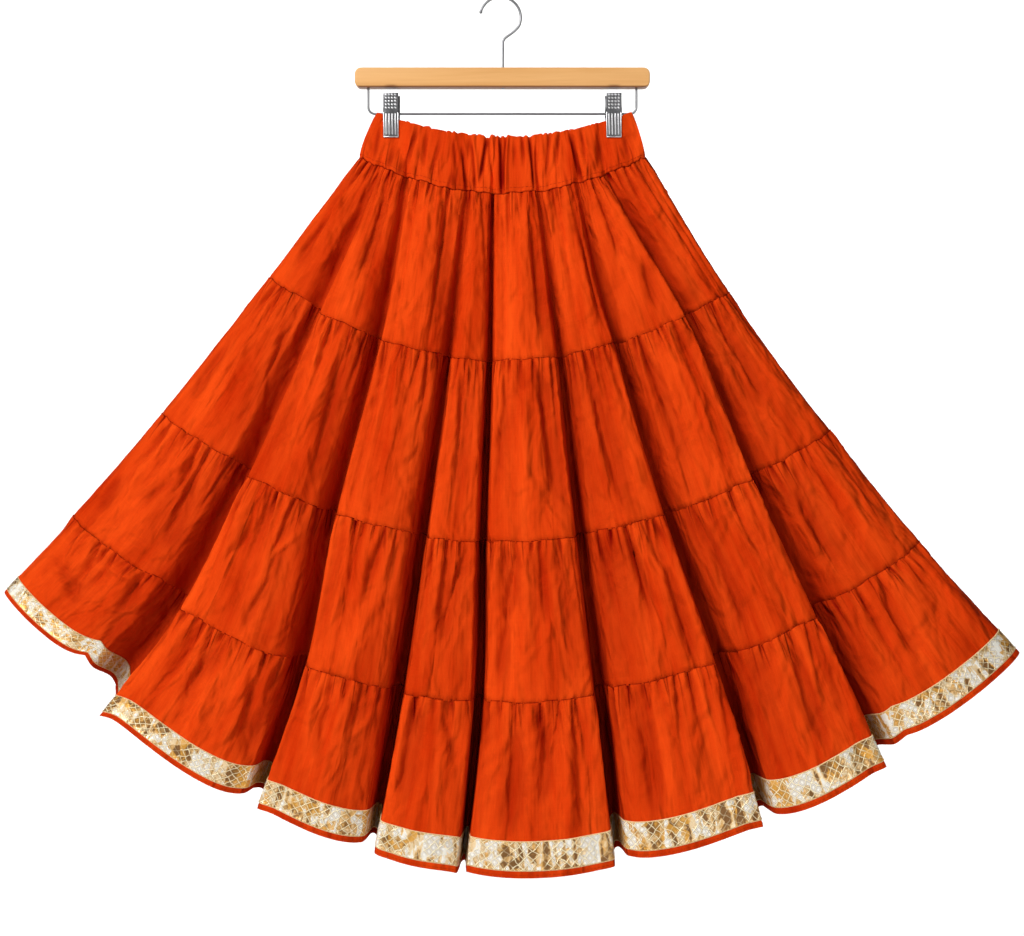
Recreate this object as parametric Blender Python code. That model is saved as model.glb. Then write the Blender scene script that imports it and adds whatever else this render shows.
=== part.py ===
"""A four-tier gathered skirt with an elastic waist, clipped to a wooden skirt hanger.

Millimetres in the tables, metres in the model, +Z up, +X to the wearer's left, the front faces -Y.
The origin is the inside top of the hanger's hook, where it rests on a rod.
"""

import math

import bmesh
import bpy
import numpy as np

MM = 0.001

# ---------------------------------------------------------------- cloth sizes (mm)
CLOTH_WALL = 1.6
WAISTBAND_WALL = 2.2
BAND_WALL = 1.0
SEAM_GAP = 0.3
GOLD_BAND_WIDTH = 35.0
HEM_BELOW_BAND = 8.0

# The skirt's outline at each seam. z and x are the middle and the two side folds of the seam,
# half_depth is from the middle to the front, squareness rounds the side folds, fold_depth is how
# far the big folds go in, fold_width how wide their sides are, crown how far the cloth between
# them stands out, and rise_share how much of each lobe's own lift the seam takes.
LEVEL_COLUMNS = (
    "z_middle", "z_left", "z_right", "x_left", "x_right",
    "half_depth", "squareness", "fold_depth", "fold_width", "crown", "rise_share",
)
LEVELS = {
    "waist_top": (-174.5, -142.5, -142.5, -157.0, 162.0, 8.0, 20.0, 0.0, 4.0, 0.0, 0.0),
    "waist_seam": (-247.0, -199.6, -199.6, -179.0, 179.0, 20.0, 6.0, 6.0, 4.0, 3.0, 0.0),
    "seam_2": (-456.5, -349.6, -368.4, -291.0, 282.0, 41.0, 4.0, 22.0, 7.5, 8.0, 0.1),
    "seam_3": (-677.5, -518.4, -539.6, -423.0, 407.0, 57.0, 3.4, 36.0, 10.0, 12.0, 0.2),
    "seam_4": (-869.0, -645.9, -675.9, -533.0, 518.0, 72.0, 3.0, 46.0, 11.0, 15.0, 0.4),
    "hem": (-1074.0, -737.1, -808.4, -618.0, 642.0, 86.0, 2.8, 56.0, 10.0, 16.0, 1.0),
}

# The big folds, in order round the skirt: the front from left to right, then the back from right
# to left. x is where each one opens at the seams, depth is its share of the level's fold_depth.
FOLD_COLUMNS = ("waist_seam", "seam_2", "seam_3", "seam_4", "hem", "depth")
FOLDS = {
    "front_1": (-151.0, -229.0, -316.0, -397.0, -490.0, 0.90),
    "front_2": (-118.0, -153.0, -207.0, -243.0, -296.0, 1.00),
    "front_3": (-44.0, -66.0, -96.0, -124.0, -156.0, 1.05),
    "front_4": (-12.0, -15.5, -23.5, -28.0, -48.0, 1.10),
    "front_5": (46.0, 71.0, 95.0, 117.5, 139.0, 1.05),
    "front_6": (94.0, 141.0, 202.5, 264.0, 316.0, 1.00),
    "front_7": (128.0, 230.0, 311.5, 388.0, 466.0, 0.90),
    "back_1": (140.0, 218.0, 300.0, 382.0, 474.0, 0.85),
    "back_2": (88.0, 142.0, 206.0, 262.0, 322.0, 1.00),
    "back_3": (40.0, 62.0, 92.0, 118.0, 150.0, 0.95),
    "back_4": (-6.0, -8.0, -10.0, -12.0, -8.0, 1.05),
    "back_5": (-52.0, -80.0, -112.0, -142.0, -170.0, 1.00),
    "back_6": (-98.0, -150.0, -214.0, -266.0, -318.0, 0.95),
    "back_7": (-140.0, -222.0, -318.0, -398.0, -482.0, 0.85),
}

# The lobes of cloth between the folds, starting with the left side fold: mesh columns, how much
# of the crown each takes, and the lift of its hem at its start, middle and end.
LOBE_COLUMNS = ("columns", "crown", "start", "middle", "end")
LOBES = {
    "left_side": (16, 0.2, 8.0, -4.0, 28.0),
    "front_b": (11, 1.0, -22.0, -6.0, 12.0),
    "front_c": (9, 1.0, 3.0, 6.0, 14.0),
    "front_d": (8, 0.8, 7.0, 2.0, -2.0),
    "front_e": (10, 1.1, 2.0, 0.0, 2.0),
    "front_f": (10, 1.0, 12.0, 3.0, -1.0),
    "front_g": (9, 1.0, 8.0, -4.0, -6.0),
    "right_side": (16, 0.2, 9.0, -8.0, 10.0),
    "back_g": (10, 1.0, -6.0, 0.0, 8.0),
    "back_f": (9, 1.0, -4.0, 4.0, 8.0),
    "back_e": (9, 1.0, 0.0, 2.0, 4.0),
    "back_d": (9, 1.0, 4.0, 0.0, -3.0),
    "back_c": (8, 0.9, 6.0, 2.0, -5.0),
    "back_b": (10, 1.0, 9.0, 0.0, -8.0),
}
LIFT_SHOULDER = 0.38  # how far from a lobe's middle its start and end lifts are reached

FOLD_SLOT = 0.30  # share of even spacing left at a fold's bottom, so that it stays open
FOLD_EDGE = 2.4  # how sharply a fold's sides turn into the cloth beside it

# The gathers below each seam: four mesh columns make one gather. puff is how far the cloth
# stands out just below its gathered edge, wave the height of the gathers there.
COLUMNS_PER_GATHER = 4
GATHER_COLUMNS = ("puff", "wave", "offset")
GATHERS = {
    "waistband": (0.0, 1.5, 0.0),
    "tier_1": (2.0, 3.0, 1.0),
    "tier_2": (4.0, 4.0, 0.5),
    "tier_3": (4.5, 4.5, 1.5),
    "tier_4": (5.0, 5.0, 0.0),
}
GATHER_STEEPNESS = 0.4  # a gather is never higher than this share of its column spacing

# How far down a tier its rows of points lie, and how much puff and wave each row has.
ROW_COLUMNS = ("down", "puff", "wave")
TIER_ROWS = ((0.0, 0.0, 0.0), (0.08, 1.0, 1.0), (0.45, 0.45, 0.4), (1.0, 0.0, 0.0))
WAIST_ROWS = ((0.0, 0.0, 0.8), (0.44, 0.0, 1.0), (0.75, 0.0, 1.0), (1.0, 0.0, 0.0))

# ---------------------------------------------------------------- hanger sizes (mm)
WIRE_RADIUS = 1.55
RAIL_RADIUS = 1.45
HOLE_CLEARANCE = 0.3
HOOK_CENTRE_X = -2.5
HOOK_CENTRE_Z = -24.0
HOOK_RADIUS = 25.55
HOOK_TIP_ANGLE = 163.0
HOOK_THROAT_ANGLE = -24.0
STEM_X = 0.6
STEM_TOP_Z = -56.0
BAR_LENGTH = 368.0
BAR_TOP_Z = -87.8
BAR_BOTTOM_Z = -112.4
BAR_HALF_THICKNESS = 8.0
BAR_CORNER = 8.0
BAR_EDGE = 1.5
RAIL_HALF_WIDTH = 167.5
RAIL_Z = -144.6
RAIL_CORNER = 8.5
RAIL_SOCKET = 9.0
CLIP_X = 139.0
CLIP_TOP_Z = -120.0
CLIP_BOTTOM_Z = -174.8
CLIP_HALF_WIDTH = 9.4
CLIP_PLATE = 1.2
CLIP_RIBS = 4
SPRING_RADIUS = 3.4
SPRING_HALF_LENGTH = 6.0
PINCHED_DEPTH = 4.2  # from the middle of the waistband to its outside, between the jaws
PINCH_HALF_WIDTH = 21.0
PINCH_ENDS = (0.48, 0.9)  # the pinch is whole down to the first level and gone at the second
CLIP_DIP = 2.0  # the waistband's edge stays this much lower below the springs
RAIL_NOTCH = 6.0  # and this much lower where the rail passes over its side folds

LOBE_COUNT = len(LOBES)


# ---------------------------------------------------------------- materials
def material(name, colour, roughness, metallic=0.0):
    """A plain Principled material."""
    found = bpy.data.materials.new(name)
    found.use_nodes = True
    shader = found.node_tree.nodes["Principled BSDF"]
    shader.inputs["Base Color"].default_value = (*colour, 1.0)
    shader.inputs["Roughness"].default_value = roughness
    shader.inputs["Metallic"].default_value = metallic
    found.diffuse_color = (*colour, 1.0)
    return found


# ---------------------------------------------------------------- the skirt's surface
def table_column(table, names, name):
    """One named column of a table, in the table's order."""
    return np.array([row[names.index(name)] for row in table.values()])


def level_value(column, level):
    """A column of LEVELS at a level between 0 (waist top) and 5 (hem), smooth below the waist."""
    values = table_column(LEVELS, LEVEL_COLUMNS, column)
    return between_levels(values, level, column.startswith("x_"))


def between_levels(values, level, eased):
    """Values at the six levels, read between them: a spline, but straight or eased at the waist."""
    if level <= 1.0:
        share = 1.0 - (1.0 - level) ** 2 if eased else level
        return values[0] + (values[1] - values[0]) * share
    first = min(int(level), len(values) - 2)
    along = level - first
    before = values[first - 1] if first > 1 else 2 * values[first] - values[first + 1]
    after = values[first + 2] if first + 2 < len(values) else 2 * values[first + 1] - values[first]
    start, end = values[first], values[first + 1]
    start_slope, end_slope = (end - before) / 2, (after - start) / 2
    return (
        start * (2 * along**3 - 3 * along**2 + 1)
        + start_slope * (along**3 - 2 * along**2 + along)
        + end * (3 * along**2 - 2 * along**3)
        + end_slope * (along**3 - along**2)
    )


def column_places():
    """For each mesh column: the lobe it is in, and how far across that lobe it lies."""
    lobes, shares = [], []
    for index, count in enumerate(table_column(LOBES, LOBE_COLUMNS, "columns").astype(int)):
        for column in range(count):
            lobes.append(index)
            shares.append((column + 0.5) / count)
    return np.array(lobes), np.array(shares)


def fold_angles(level):
    """The angle round the base curve of each fold: the front is -90 to 90 degrees."""
    middle = (level_value("x_right", level) + level_value("x_left", level)) / 2
    half_width = (level_value("x_right", level) - level_value("x_left", level)) / 2
    waist_scale = level_value("x_right", 0.0) / level_value("x_right", 1.0)
    angles = []
    for name, fold in FOLDS.items():
        places = [fold[0] * waist_scale, *fold[:-1]]
        angle = math.asin((between_levels(places, level, True) - middle) / half_width)
        angles.append(angle if name.startswith("front") else math.pi - angle)
    return np.array(angles)


def lobe_lift(lobes, shares):
    """The hem's lift across each lobe, meeting its neighbours' half way in the folds."""
    start, middle, end = (
        table_column(LOBES, LOBE_COLUMNS, name) for name in ("start", "middle", "end")
    )
    in_fold = (start + np.roll(end, 1)) / 2
    before = shares < 0.5
    shoulder = np.where(before, start[lobes], end[lobes])
    fold = np.where(before, in_fold[lobes], np.roll(in_fold, -1)[lobes])
    from_middle = np.abs(shares - 0.5)
    swept = middle[lobes] + (shoulder - middle[lobes]) * (from_middle / LIFT_SHOULDER) ** 2
    into_fold = (from_middle - LIFT_SHOULDER) / (0.5 - LIFT_SHOULDER)
    return np.where(into_fold > 0, shoulder + (fold - shoulder) * into_fold, swept)


def skirt_ring(level, lobes, shares, extra=0.0):
    """Points round the skirt at a level, and each one's outward direction; extra moves them out."""
    folds = fold_angles(level)
    starts = np.roll(folds, 1)
    starts[0] -= 2 * math.pi
    spans = folds - starts
    nearness = 1.0 - np.abs(2.0 * shares - 1.0)  # 0 in a fold, 1 at the middle of a lobe
    spread = FOLD_SLOT * nearness + (1.0 - FOLD_SLOT) * nearness**3
    across = np.where(shares < 0.5, spread / 2, 1.0 - spread / 2)
    angle = starts[lobes] + spans[lobes] * across

    x_left, x_right = level_value("x_left", level), level_value("x_right", level)
    half_width = (x_right - x_left) / 2
    half_depth, square = level_value("half_depth", level), level_value("squareness", level)
    side = np.abs(np.sin(angle))
    front = np.where(np.cos(angle) > 0, -1.0, 1.0)
    hollow = np.sqrt(np.maximum(1.0 - side**square, 0.0))
    x = (x_left + x_right) / 2 + half_width * np.sin(angle)
    y = front * half_depth * hollow
    nearest = np.where(shares < 0.5, starts[lobes], folds[lobes])
    fold_x = (x_left + x_right) / 2 + half_width * np.sin(nearest)
    fold_y = np.where(np.cos(nearest) > 0, -1.0, 1.0) * half_depth
    fold_y = fold_y * np.sqrt(1.0 - np.abs(np.sin(nearest)) ** square)
    from_fold = np.hypot(x - fold_x, y - fold_y) / level_value("fold_width", level)
    out_x = np.sign(np.sin(angle)) * square * side ** (square - 1.0) / half_width
    out_y = front * 2.0 * hollow / half_depth
    length = np.hypot(out_x, out_y)
    out = np.stack([out_x / length, out_y / length], axis=1)

    crowns = table_column(LOBES, LOBE_COLUMNS, "crown")
    depths = table_column(FOLDS, FOLD_COLUMNS, "depth")
    fold_of = np.where(shares < 0.5, (lobes - 1) % LOBE_COUNT, lobes)
    stand = level_value("crown", level) * crowns[lobes] * (1.0 - (1.0 - spread) ** 2)
    sink = level_value("fold_depth", level) * depths[fold_of]
    sink = sink * np.exp(-(from_fold**FOLD_EDGE))
    move = stand - sink + extra
    x = x + out[:, 0] * move
    y = y + out[:, 1] * move

    z_left, z_right = level_value("z_left", level), level_value("z_right", level)
    z_side = np.where(np.sin(angle) < 0, z_left, z_right)
    z_middle = level_value("z_middle", level)
    z = z_middle + (z_side - z_middle) * side**2
    z = z + level_value("rise_share", level) * lobe_lift(lobes, shares)
    return np.stack([x, y, z], axis=1)


def pinch_at_clips(points, level):
    """Flattens the waistband between the jaws, and keeps its edge clear of springs and rail."""
    fade = np.clip((PINCH_ENDS[1] - level) / (PINCH_ENDS[1] - PINCH_ENDS[0]), 0.0, 1.0)
    from_clip = CLIP_X - np.abs(points[:, 0])
    pinch = np.exp(-((np.maximum(from_clip, 0.0) / PINCH_HALF_WIDTH) ** 10)) * fade
    flat = np.minimum(np.abs(points[:, 1]), PINCHED_DEPTH) * np.sign(points[:, 1])
    points[:, 1] += (flat - points[:, 1]) * pinch
    if level == 0.0:
        at_side = (np.abs(points[:, 0]) > CLIP_X) * np.exp(-((points[:, 1] / 3.2) ** 4))
        under_spring = np.exp(-((from_clip / (SPRING_HALF_LENGTH + 4.0)) ** 6))
        points[:, 2] -= RAIL_NOTCH * at_side + CLIP_DIP * under_spring
    return points


def gather_wave(points, offset):
    """One gather for every four columns, uneven in height, and low where the columns are close."""
    columns = np.arange(len(points))
    spacing = np.linalg.norm(np.roll(points, -1, axis=0) - np.roll(points, 1, axis=0), axis=1) / 2
    phase = 2 * math.pi * (columns + offset) / COLUMNS_PER_GATHER
    uneven = 0.8 + 0.2 * np.sin(2.4 * (columns // COLUMNS_PER_GATHER) + offset)
    return np.cos(phase) * uneven, GATHER_STEEPNESS * spacing


def cloth_rows(piece, level, rows, lobes, shares):
    """The outer points of a piece that hangs from one seam to the next, one ring for each row."""
    puff, wave, offset = GATHERS[piece]
    rings = []
    for down, row_puff, row_wave in rows:
        at = level + down
        plain = skirt_ring(at, lobes, shares)
        shape, highest = gather_wave(plain, offset)
        extra = puff * row_puff + shape * np.minimum(wave * row_wave, highest)
        rings.append(pinch_at_clips(skirt_ring(at, lobes, shares, extra), at))
    return np.array(rings)


def part_at_seam(rings, row, level, lobes, shares):
    """Moves a piece's first or last row half the seam gap away from the seam at that level."""
    step = 0.02
    down = skirt_ring(level + step, lobes, shares) - skirt_ring(level - step, lobes, shares)
    down /= np.linalg.norm(down, axis=1, keepdims=True)
    rings[row] += down * (SEAM_GAP / 2 if row == 0 else -SEAM_GAP / 2)


def moved_out(rings, distance):
    """Rings moved outwards (or, below zero, inwards) in their own plane, square to their edges."""
    moved = rings.copy()
    for ring, result in zip(rings, moved):
        edge = np.roll(ring, -1, axis=0)[:, :2] - ring[:, :2]
        edge /= np.linalg.norm(edge, axis=1, keepdims=True)
        after = np.stack([edge[:, 1], -edge[:, 0]], axis=1)
        before = np.roll(after, 1, axis=0)
        both = after + before
        both /= np.linalg.norm(both, axis=1, keepdims=True)
        mitre = 1.0 / np.maximum((both * after).sum(axis=1), 0.66)
        result[:, :2] += both * (distance * mitre)[:, None]
    return moved


# ---------------------------------------------------------------- building cloth
def cloth_tube(name, outer, inner, finish):
    """A closed wall between an outer and an inner stack of rings, as one object."""
    loops = np.concatenate([outer, inner[::-1]])
    loop_count, column_count = loops.shape[:2]
    form = bmesh.new()
    bmesh.ops.create_grid(form, x_segments=column_count, y_segments=loop_count, size=1.0)
    form.verts.ensure_lookup_table()
    for row in range(loop_count + 1):
        for column in range(column_count + 1):
            vert = form.verts[row * (column_count + 1) + column]
            vert.co = loops[row % loop_count, column % column_count] * MM
    outside = [face for face in form.faces if row_of(face, column_count) < len(outer)]
    inside = [face for face in form.faces if row_of(face, column_count) >= len(outer)]
    bmesh.ops.triangulate(form, faces=outside, quad_method="FIXED")
    bmesh.ops.triangulate(form, faces=inside, quad_method="ALTERNATE")
    bmesh.ops.remove_doubles(form, verts=form.verts, dist=1e-7)
    bmesh.ops.recalc_face_normals(form, faces=form.faces)
    return finished(name, form, finish)


def row_of(face, column_count):
    """The row of the grid that a face of it is in."""
    return min(vert.index for vert in face.verts) // (column_count + 1)


def finished(name, form, finish):
    """Turns a bmesh into a named object, smooth but for its sharp edges."""
    mesh = bpy.data.meshes.new(name)
    form.to_mesh(mesh)
    form.free()
    mesh.materials.append(finish)
    mesh.shade_smooth()
    mesh.set_sharp_from_angle(angle=math.radians(50))
    made = bpy.data.objects.new(name, mesh)
    bpy.context.scene.collection.objects.link(made)
    return made


def make_skirt():
    """The waistband, four tiers and the gold band."""
    cotton = material("orange_cotton", (0.72, 0.06, 0.008), 0.75)
    casing = material("orange_casing", (0.70, 0.055, 0.007), 0.75)
    gold = material("gold_ribbon", (0.80, 0.58, 0.28), 0.3, 0.8)
    lobes, shares = column_places()

    rings = cloth_rows("waistband", 0, WAIST_ROWS, lobes, shares)
    part_at_seam(rings, -1, 1, lobes, shares)
    cloth_tube("waistband", rings, moved_out(rings, -WAISTBAND_WALL), casing)

    for level in (1, 2, 3):
        piece = f"tier_{level}"
        rings = cloth_rows(piece, level, TIER_ROWS, lobes, shares)
        part_at_seam(rings, 0, level, lobes, shares)
        part_at_seam(rings, -1, level + 1, lobes, shares)
        cloth_tube(piece, rings, moved_out(rings, -CLOTH_WALL), cotton)

    tier_4_drop = abs(LEVELS["hem"][0] - LEVELS["seam_4"][0])
    band_bottom = 1.0 - HEM_BELOW_BAND / tier_4_drop
    band_top = band_bottom - GOLD_BAND_WIDTH / tier_4_drop
    rows = [*TIER_ROWS[:-1], (band_top, 0.0, 0.0), (band_bottom, 0.0, 0.0), TIER_ROWS[-1]]
    rings = cloth_rows("tier_4", 4, rows, lobes, shares)
    part_at_seam(rings, 0, 4, lobes, shares)
    cloth_tube("tier_4", rings, moved_out(rings, -CLOTH_WALL), cotton)
    under = rings[-3:-1]
    cloth_tube("gold_band", moved_out(under, SEAM_GAP + BAND_WALL), moved_out(under, SEAM_GAP), gold)


# ---------------------------------------------------------------- building the hanger
def wire(name, points, radius, finish):
    """A round wire along points in the X-Z plane, with closed ends."""
    curve = bpy.data.curves.new(name, "CURVE")
    curve.dimensions = "3D"
    curve.bevel_depth = radius * MM
    curve.bevel_resolution = 2
    curve.use_fill_caps = True
    spline = curve.splines.new("POLY")
    spline.points.add(len(points) - 1)
    for place, (x, z) in zip(spline.points, points):
        place.co = (x * MM, 0.0, z * MM, 1.0)
    curve.materials.append(finish)
    made = bpy.data.objects.new(name, curve)
    bpy.context.scene.collection.objects.link(made)
    return made


def arc(centre, radius, first, last, steps):
    """Points on an arc in the X-Z plane, angles in degrees from +X towards +Z."""
    turns = np.radians(np.linspace(first, last, steps + 1))
    return [(centre[0] + radius * math.cos(t), centre[1] + radius * math.sin(t)) for t in turns]


def eased_run(start, start_way, end, end_way, steps):
    """Points on a cubic from start to end, without either end, leaving and arriving along ways."""
    run = []
    for step in range(1, steps):
        t = step / steps
        weights = (
            2 * t**3 - 3 * t**2 + 1, t**3 - 2 * t**2 + t,
            3 * t**2 - 2 * t**3, t**3 - t**2,
        )
        run.append(tuple(
            sum(w * part[axis] for w, part in zip(weights, (start, start_way, end, end_way)))
            for axis in (0, 1)
        ))
    return run


def make_hook(steel):
    """The hook: an arc over the rod, a swan neck and the stem that goes down into the bar."""
    over = arc((HOOK_CENTRE_X, HOOK_CENTRE_Z), HOOK_RADIUS, HOOK_TIP_ANGLE, HOOK_THROAT_ANGLE, 20)
    leaving = math.radians(HOOK_THROAT_ANGLE)
    way = (60.0 * math.sin(leaving), -40.0 * math.cos(leaving))
    stem_top = (STEM_X, STEM_TOP_Z)
    neck = eased_run(over[-1], way, stem_top, (0.0, -26.0), 9)
    stem_end = (STEM_X, BAR_BOTTOM_Z + 1.0)
    wire("hanger_hook", [*over, *neck, stem_top, stem_end], WIRE_RADIUS, steel)


def make_rail(steel):
    """The wire rail: down from the bar, across, and up again."""
    top = BAR_BOTTOM_Z + RAIL_SOCKET
    inner = RAIL_HALF_WIDTH - RAIL_CORNER
    corner_z = RAIL_Z + RAIL_CORNER
    left = arc((-inner, corner_z), RAIL_CORNER, 180, 270, 6)
    right = arc((inner, corner_z), RAIL_CORNER, 270, 360, 6)
    points = [(-RAIL_HALF_WIDTH, top), *left, *right, (RAIL_HALF_WIDTH, top)]
    wire("clip_rail", points, RAIL_RADIUS, steel)


def box(form, low, high):
    """Adds a block between two corners, in millimetres, and returns its points."""
    made = bmesh.ops.create_cube(form, size=1.0)["verts"]
    size = [(b - a) * MM for a, b in zip(low, high)]
    middle = [(a + b) / 2 * MM for a, b in zip(low, high)]
    bmesh.ops.scale(form, vec=size, verts=made)
    bmesh.ops.translate(form, vec=middle, verts=made)
    return made


def cutter(name, form):
    """A hidden object that a Boolean takes away or joins."""
    made = finished(name, form, None)
    made.hide_render = True
    made.display_type = "WIRE"
    return made


def boolean(target, tool, operation):
    modifier = target.modifiers.new(tool.name, "BOOLEAN")
    modifier.operation = operation
    modifier.object = tool
    modifier.solver = "EXACT"


def make_bar(wood):
    """The wooden bar, with holes for the hook's stem and for the rail's two ends."""
    half = BAR_LENGTH / 2 - BAR_CORNER
    low, high = BAR_BOTTOM_Z + BAR_CORNER, BAR_TOP_Z - BAR_CORNER
    outline = [
        *arc((half, high), BAR_CORNER, 0, 90, 4),
        *arc((-half, high), BAR_CORNER, 90, 180, 4),
        *arc((-half, low), BAR_CORNER, 180, 270, 4),
        *arc((half, low), BAR_CORNER, 270, 360, 4),
    ]
    form = bmesh.new()
    front = [form.verts.new((x * MM, -BAR_HALF_THICKNESS * MM, z * MM)) for x, z in outline]
    face = form.faces.new(front)
    grown = bmesh.ops.extrude_face_region(form, geom=[face])["geom"]
    back = [item for item in grown if isinstance(item, bmesh.types.BMVert)]
    bmesh.ops.translate(form, vec=(0.0, 2 * BAR_HALF_THICKNESS * MM, 0.0), verts=back)
    bmesh.ops.recalc_face_normals(form, faces=form.faces)
    rims = [e for e in form.edges if abs(e.verts[0].co.y - e.verts[1].co.y) < 1e-6]
    bmesh.ops.bevel(
        form, geom=rims, offset=BAR_EDGE * MM, segments=2, affect="EDGES", profile=0.5, material=-1
    )
    bar = finished("hanger_bar", form, wood)
    drill = bmesh.new()
    for x, radius, depth in (
        (STEM_X, WIRE_RADIUS + HOLE_CLEARANCE, None),
        (-RAIL_HALF_WIDTH, RAIL_RADIUS + HOLE_CLEARANCE, RAIL_SOCKET + HOLE_CLEARANCE),
        (RAIL_HALF_WIDTH, RAIL_RADIUS + HOLE_CLEARANCE, RAIL_SOCKET + HOLE_CLEARANCE),
    ):
        bottom = BAR_BOTTOM_Z - 5.0
        top = BAR_TOP_Z + 5.0 if depth is None else BAR_BOTTOM_Z + depth
        made = bmesh.ops.create_cone(
            drill, cap_ends=True, segments=12, radius1=radius * MM, radius2=radius * MM,
            depth=(top - bottom) * MM,
        )["verts"]
        bmesh.ops.translate(drill, vec=(x * MM, 0.0, (top + bottom) / 2 * MM), verts=made)
    boolean(bar, cutter("bar_holes", drill), "DIFFERENCE")


def make_jaw(name, side, facing, half_width, steel):
    """One pressed plate of a clip: a grip that leans out, a straight ribbed jaw and two flanges.

    side is -1 for the left clip and 1 for the right, facing -1 for the front plate, 1 for the back.
    """
    x = side * CLIP_X
    seat = PINCHED_DEPTH + SEAM_GAP
    profile = (
        (seat, CLIP_BOTTOM_Z), (seat, RAIL_Z - 4.0), (seat + 3.6, CLIP_TOP_Z),
    )
    form = bmesh.new()
    inner = [form.verts.new(((x - half_width) * MM, y * facing * MM, z * MM)) for y, z in profile]
    outer = [
        form.verts.new(((x - half_width) * MM, (y + CLIP_PLATE) * facing * MM, z * MM))
        for y, z in reversed(profile)
    ]
    face = form.faces.new([*inner, *outer])
    grown = bmesh.ops.extrude_face_region(form, geom=[face])["geom"]
    far = [item for item in grown if isinstance(item, bmesh.types.BMVert)]
    bmesh.ops.translate(form, vec=(2 * half_width * MM, 0.0, 0.0), verts=far)
    bmesh.ops.recalc_face_normals(form, faces=form.faces)
    plate = finished(name, form, steel)

    added = bmesh.new()
    pitch = 2 * half_width / (CLIP_RIBS + 0.6)
    for rib in range(CLIP_RIBS):
        middle = x + (rib - (CLIP_RIBS - 1) / 2) * pitch
        corners = sorted((facing * (seat + 0.5), facing * (seat + CLIP_PLATE + 0.7)))
        box(
            added, (middle - pitch * 0.22, corners[0], CLIP_BOTTOM_Z + 3.0),
            (middle + pitch * 0.22, corners[1], RAIL_Z - 1.0),
        )
    for end in (-1, 1):
        edge = x + end * (half_width - CLIP_PLATE / 2)
        corners = sorted((facing * 2.0, facing * (seat + CLIP_PLATE + 0.3)))
        box(
            added, (edge - CLIP_PLATE / 2, corners[0], RAIL_Z + 0.8),
            (edge + CLIP_PLATE / 2, corners[1], RAIL_Z + 9.0),
        )
    boolean(plate, cutter(f"{name}_ribs", added), "UNION")


def make_spring(name, side, steel):
    """The spring barrel round the rail, between a clip's plates."""
    form = bmesh.new()
    bore = RAIL_RADIUS + HOLE_CLEARANCE
    section = [
        form.verts.new((end * SPRING_HALF_LENGTH * MM, 0.0, radius * MM))
        for end, radius in ((-1, bore), (-1, SPRING_RADIUS), (1, SPRING_RADIUS), (1, bore))
    ]
    edges = [form.edges.new((section[i], section[(i + 1) % 4])) for i in range(4)]
    bmesh.ops.spin(
        form, geom=[*section, *edges], axis=(1.0, 0.0, 0.0), cent=(0.0, 0.0, 0.0),
        angle=2 * math.pi, steps=12, use_merge=True,
    )
    bmesh.ops.remove_doubles(form, verts=form.verts, dist=1e-6)
    bmesh.ops.recalc_face_normals(form, faces=form.faces)
    bmesh.ops.translate(form, vec=(side * CLIP_X * MM, 0.0, RAIL_Z * MM), verts=form.verts)
    finished(name, form, steel)


def make_hanger():
    """The bar, hook, rail and the two clips."""
    wood = material("hanger_wood", (0.79, 0.45, 0.19), 0.45)
    steel = material("hook_steel", (0.55, 0.55, 0.56), 0.25, 1.0)
    clip_steel = material("clip_steel", (0.48, 0.48, 0.50), 0.3, 1.0)
    make_bar(wood)
    make_hook(steel)
    make_rail(steel)
    for label, side in (("left", -1), ("right", 1)):
        make_jaw(f"clip_{label}_front", side, -1, CLIP_HALF_WIDTH, clip_steel)
        make_jaw(f"clip_{label}_back", side, 1, CLIP_HALF_WIDTH + 1.2, clip_steel)
        make_spring(f"clip_{label}_spring", side, clip_steel)


for old in list(bpy.data.objects):
    bpy.data.objects.remove(old)
make_skirt()
make_hanger()
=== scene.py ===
"""Looks of a four-tier gathered skirt on a wooden clip hanger.

The sizes are in millimetres, as in the part's own source, and become metres as meshes are made.
"""

import math

import bmesh
import bpy
import numpy as np
from mathutils import Matrix, Vector


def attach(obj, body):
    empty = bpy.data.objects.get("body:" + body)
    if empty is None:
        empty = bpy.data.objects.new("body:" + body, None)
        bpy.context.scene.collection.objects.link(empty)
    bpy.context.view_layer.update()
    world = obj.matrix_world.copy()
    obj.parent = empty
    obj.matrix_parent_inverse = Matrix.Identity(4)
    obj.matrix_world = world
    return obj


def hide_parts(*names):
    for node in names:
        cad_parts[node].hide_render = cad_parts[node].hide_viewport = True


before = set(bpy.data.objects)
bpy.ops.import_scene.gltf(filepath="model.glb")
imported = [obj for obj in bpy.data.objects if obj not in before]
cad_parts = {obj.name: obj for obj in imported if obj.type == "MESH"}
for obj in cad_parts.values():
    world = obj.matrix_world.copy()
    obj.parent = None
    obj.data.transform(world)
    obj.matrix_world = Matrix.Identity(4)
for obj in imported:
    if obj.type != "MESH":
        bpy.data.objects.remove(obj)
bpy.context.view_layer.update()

MM = 0.001
TURN = 2 * math.pi

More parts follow.
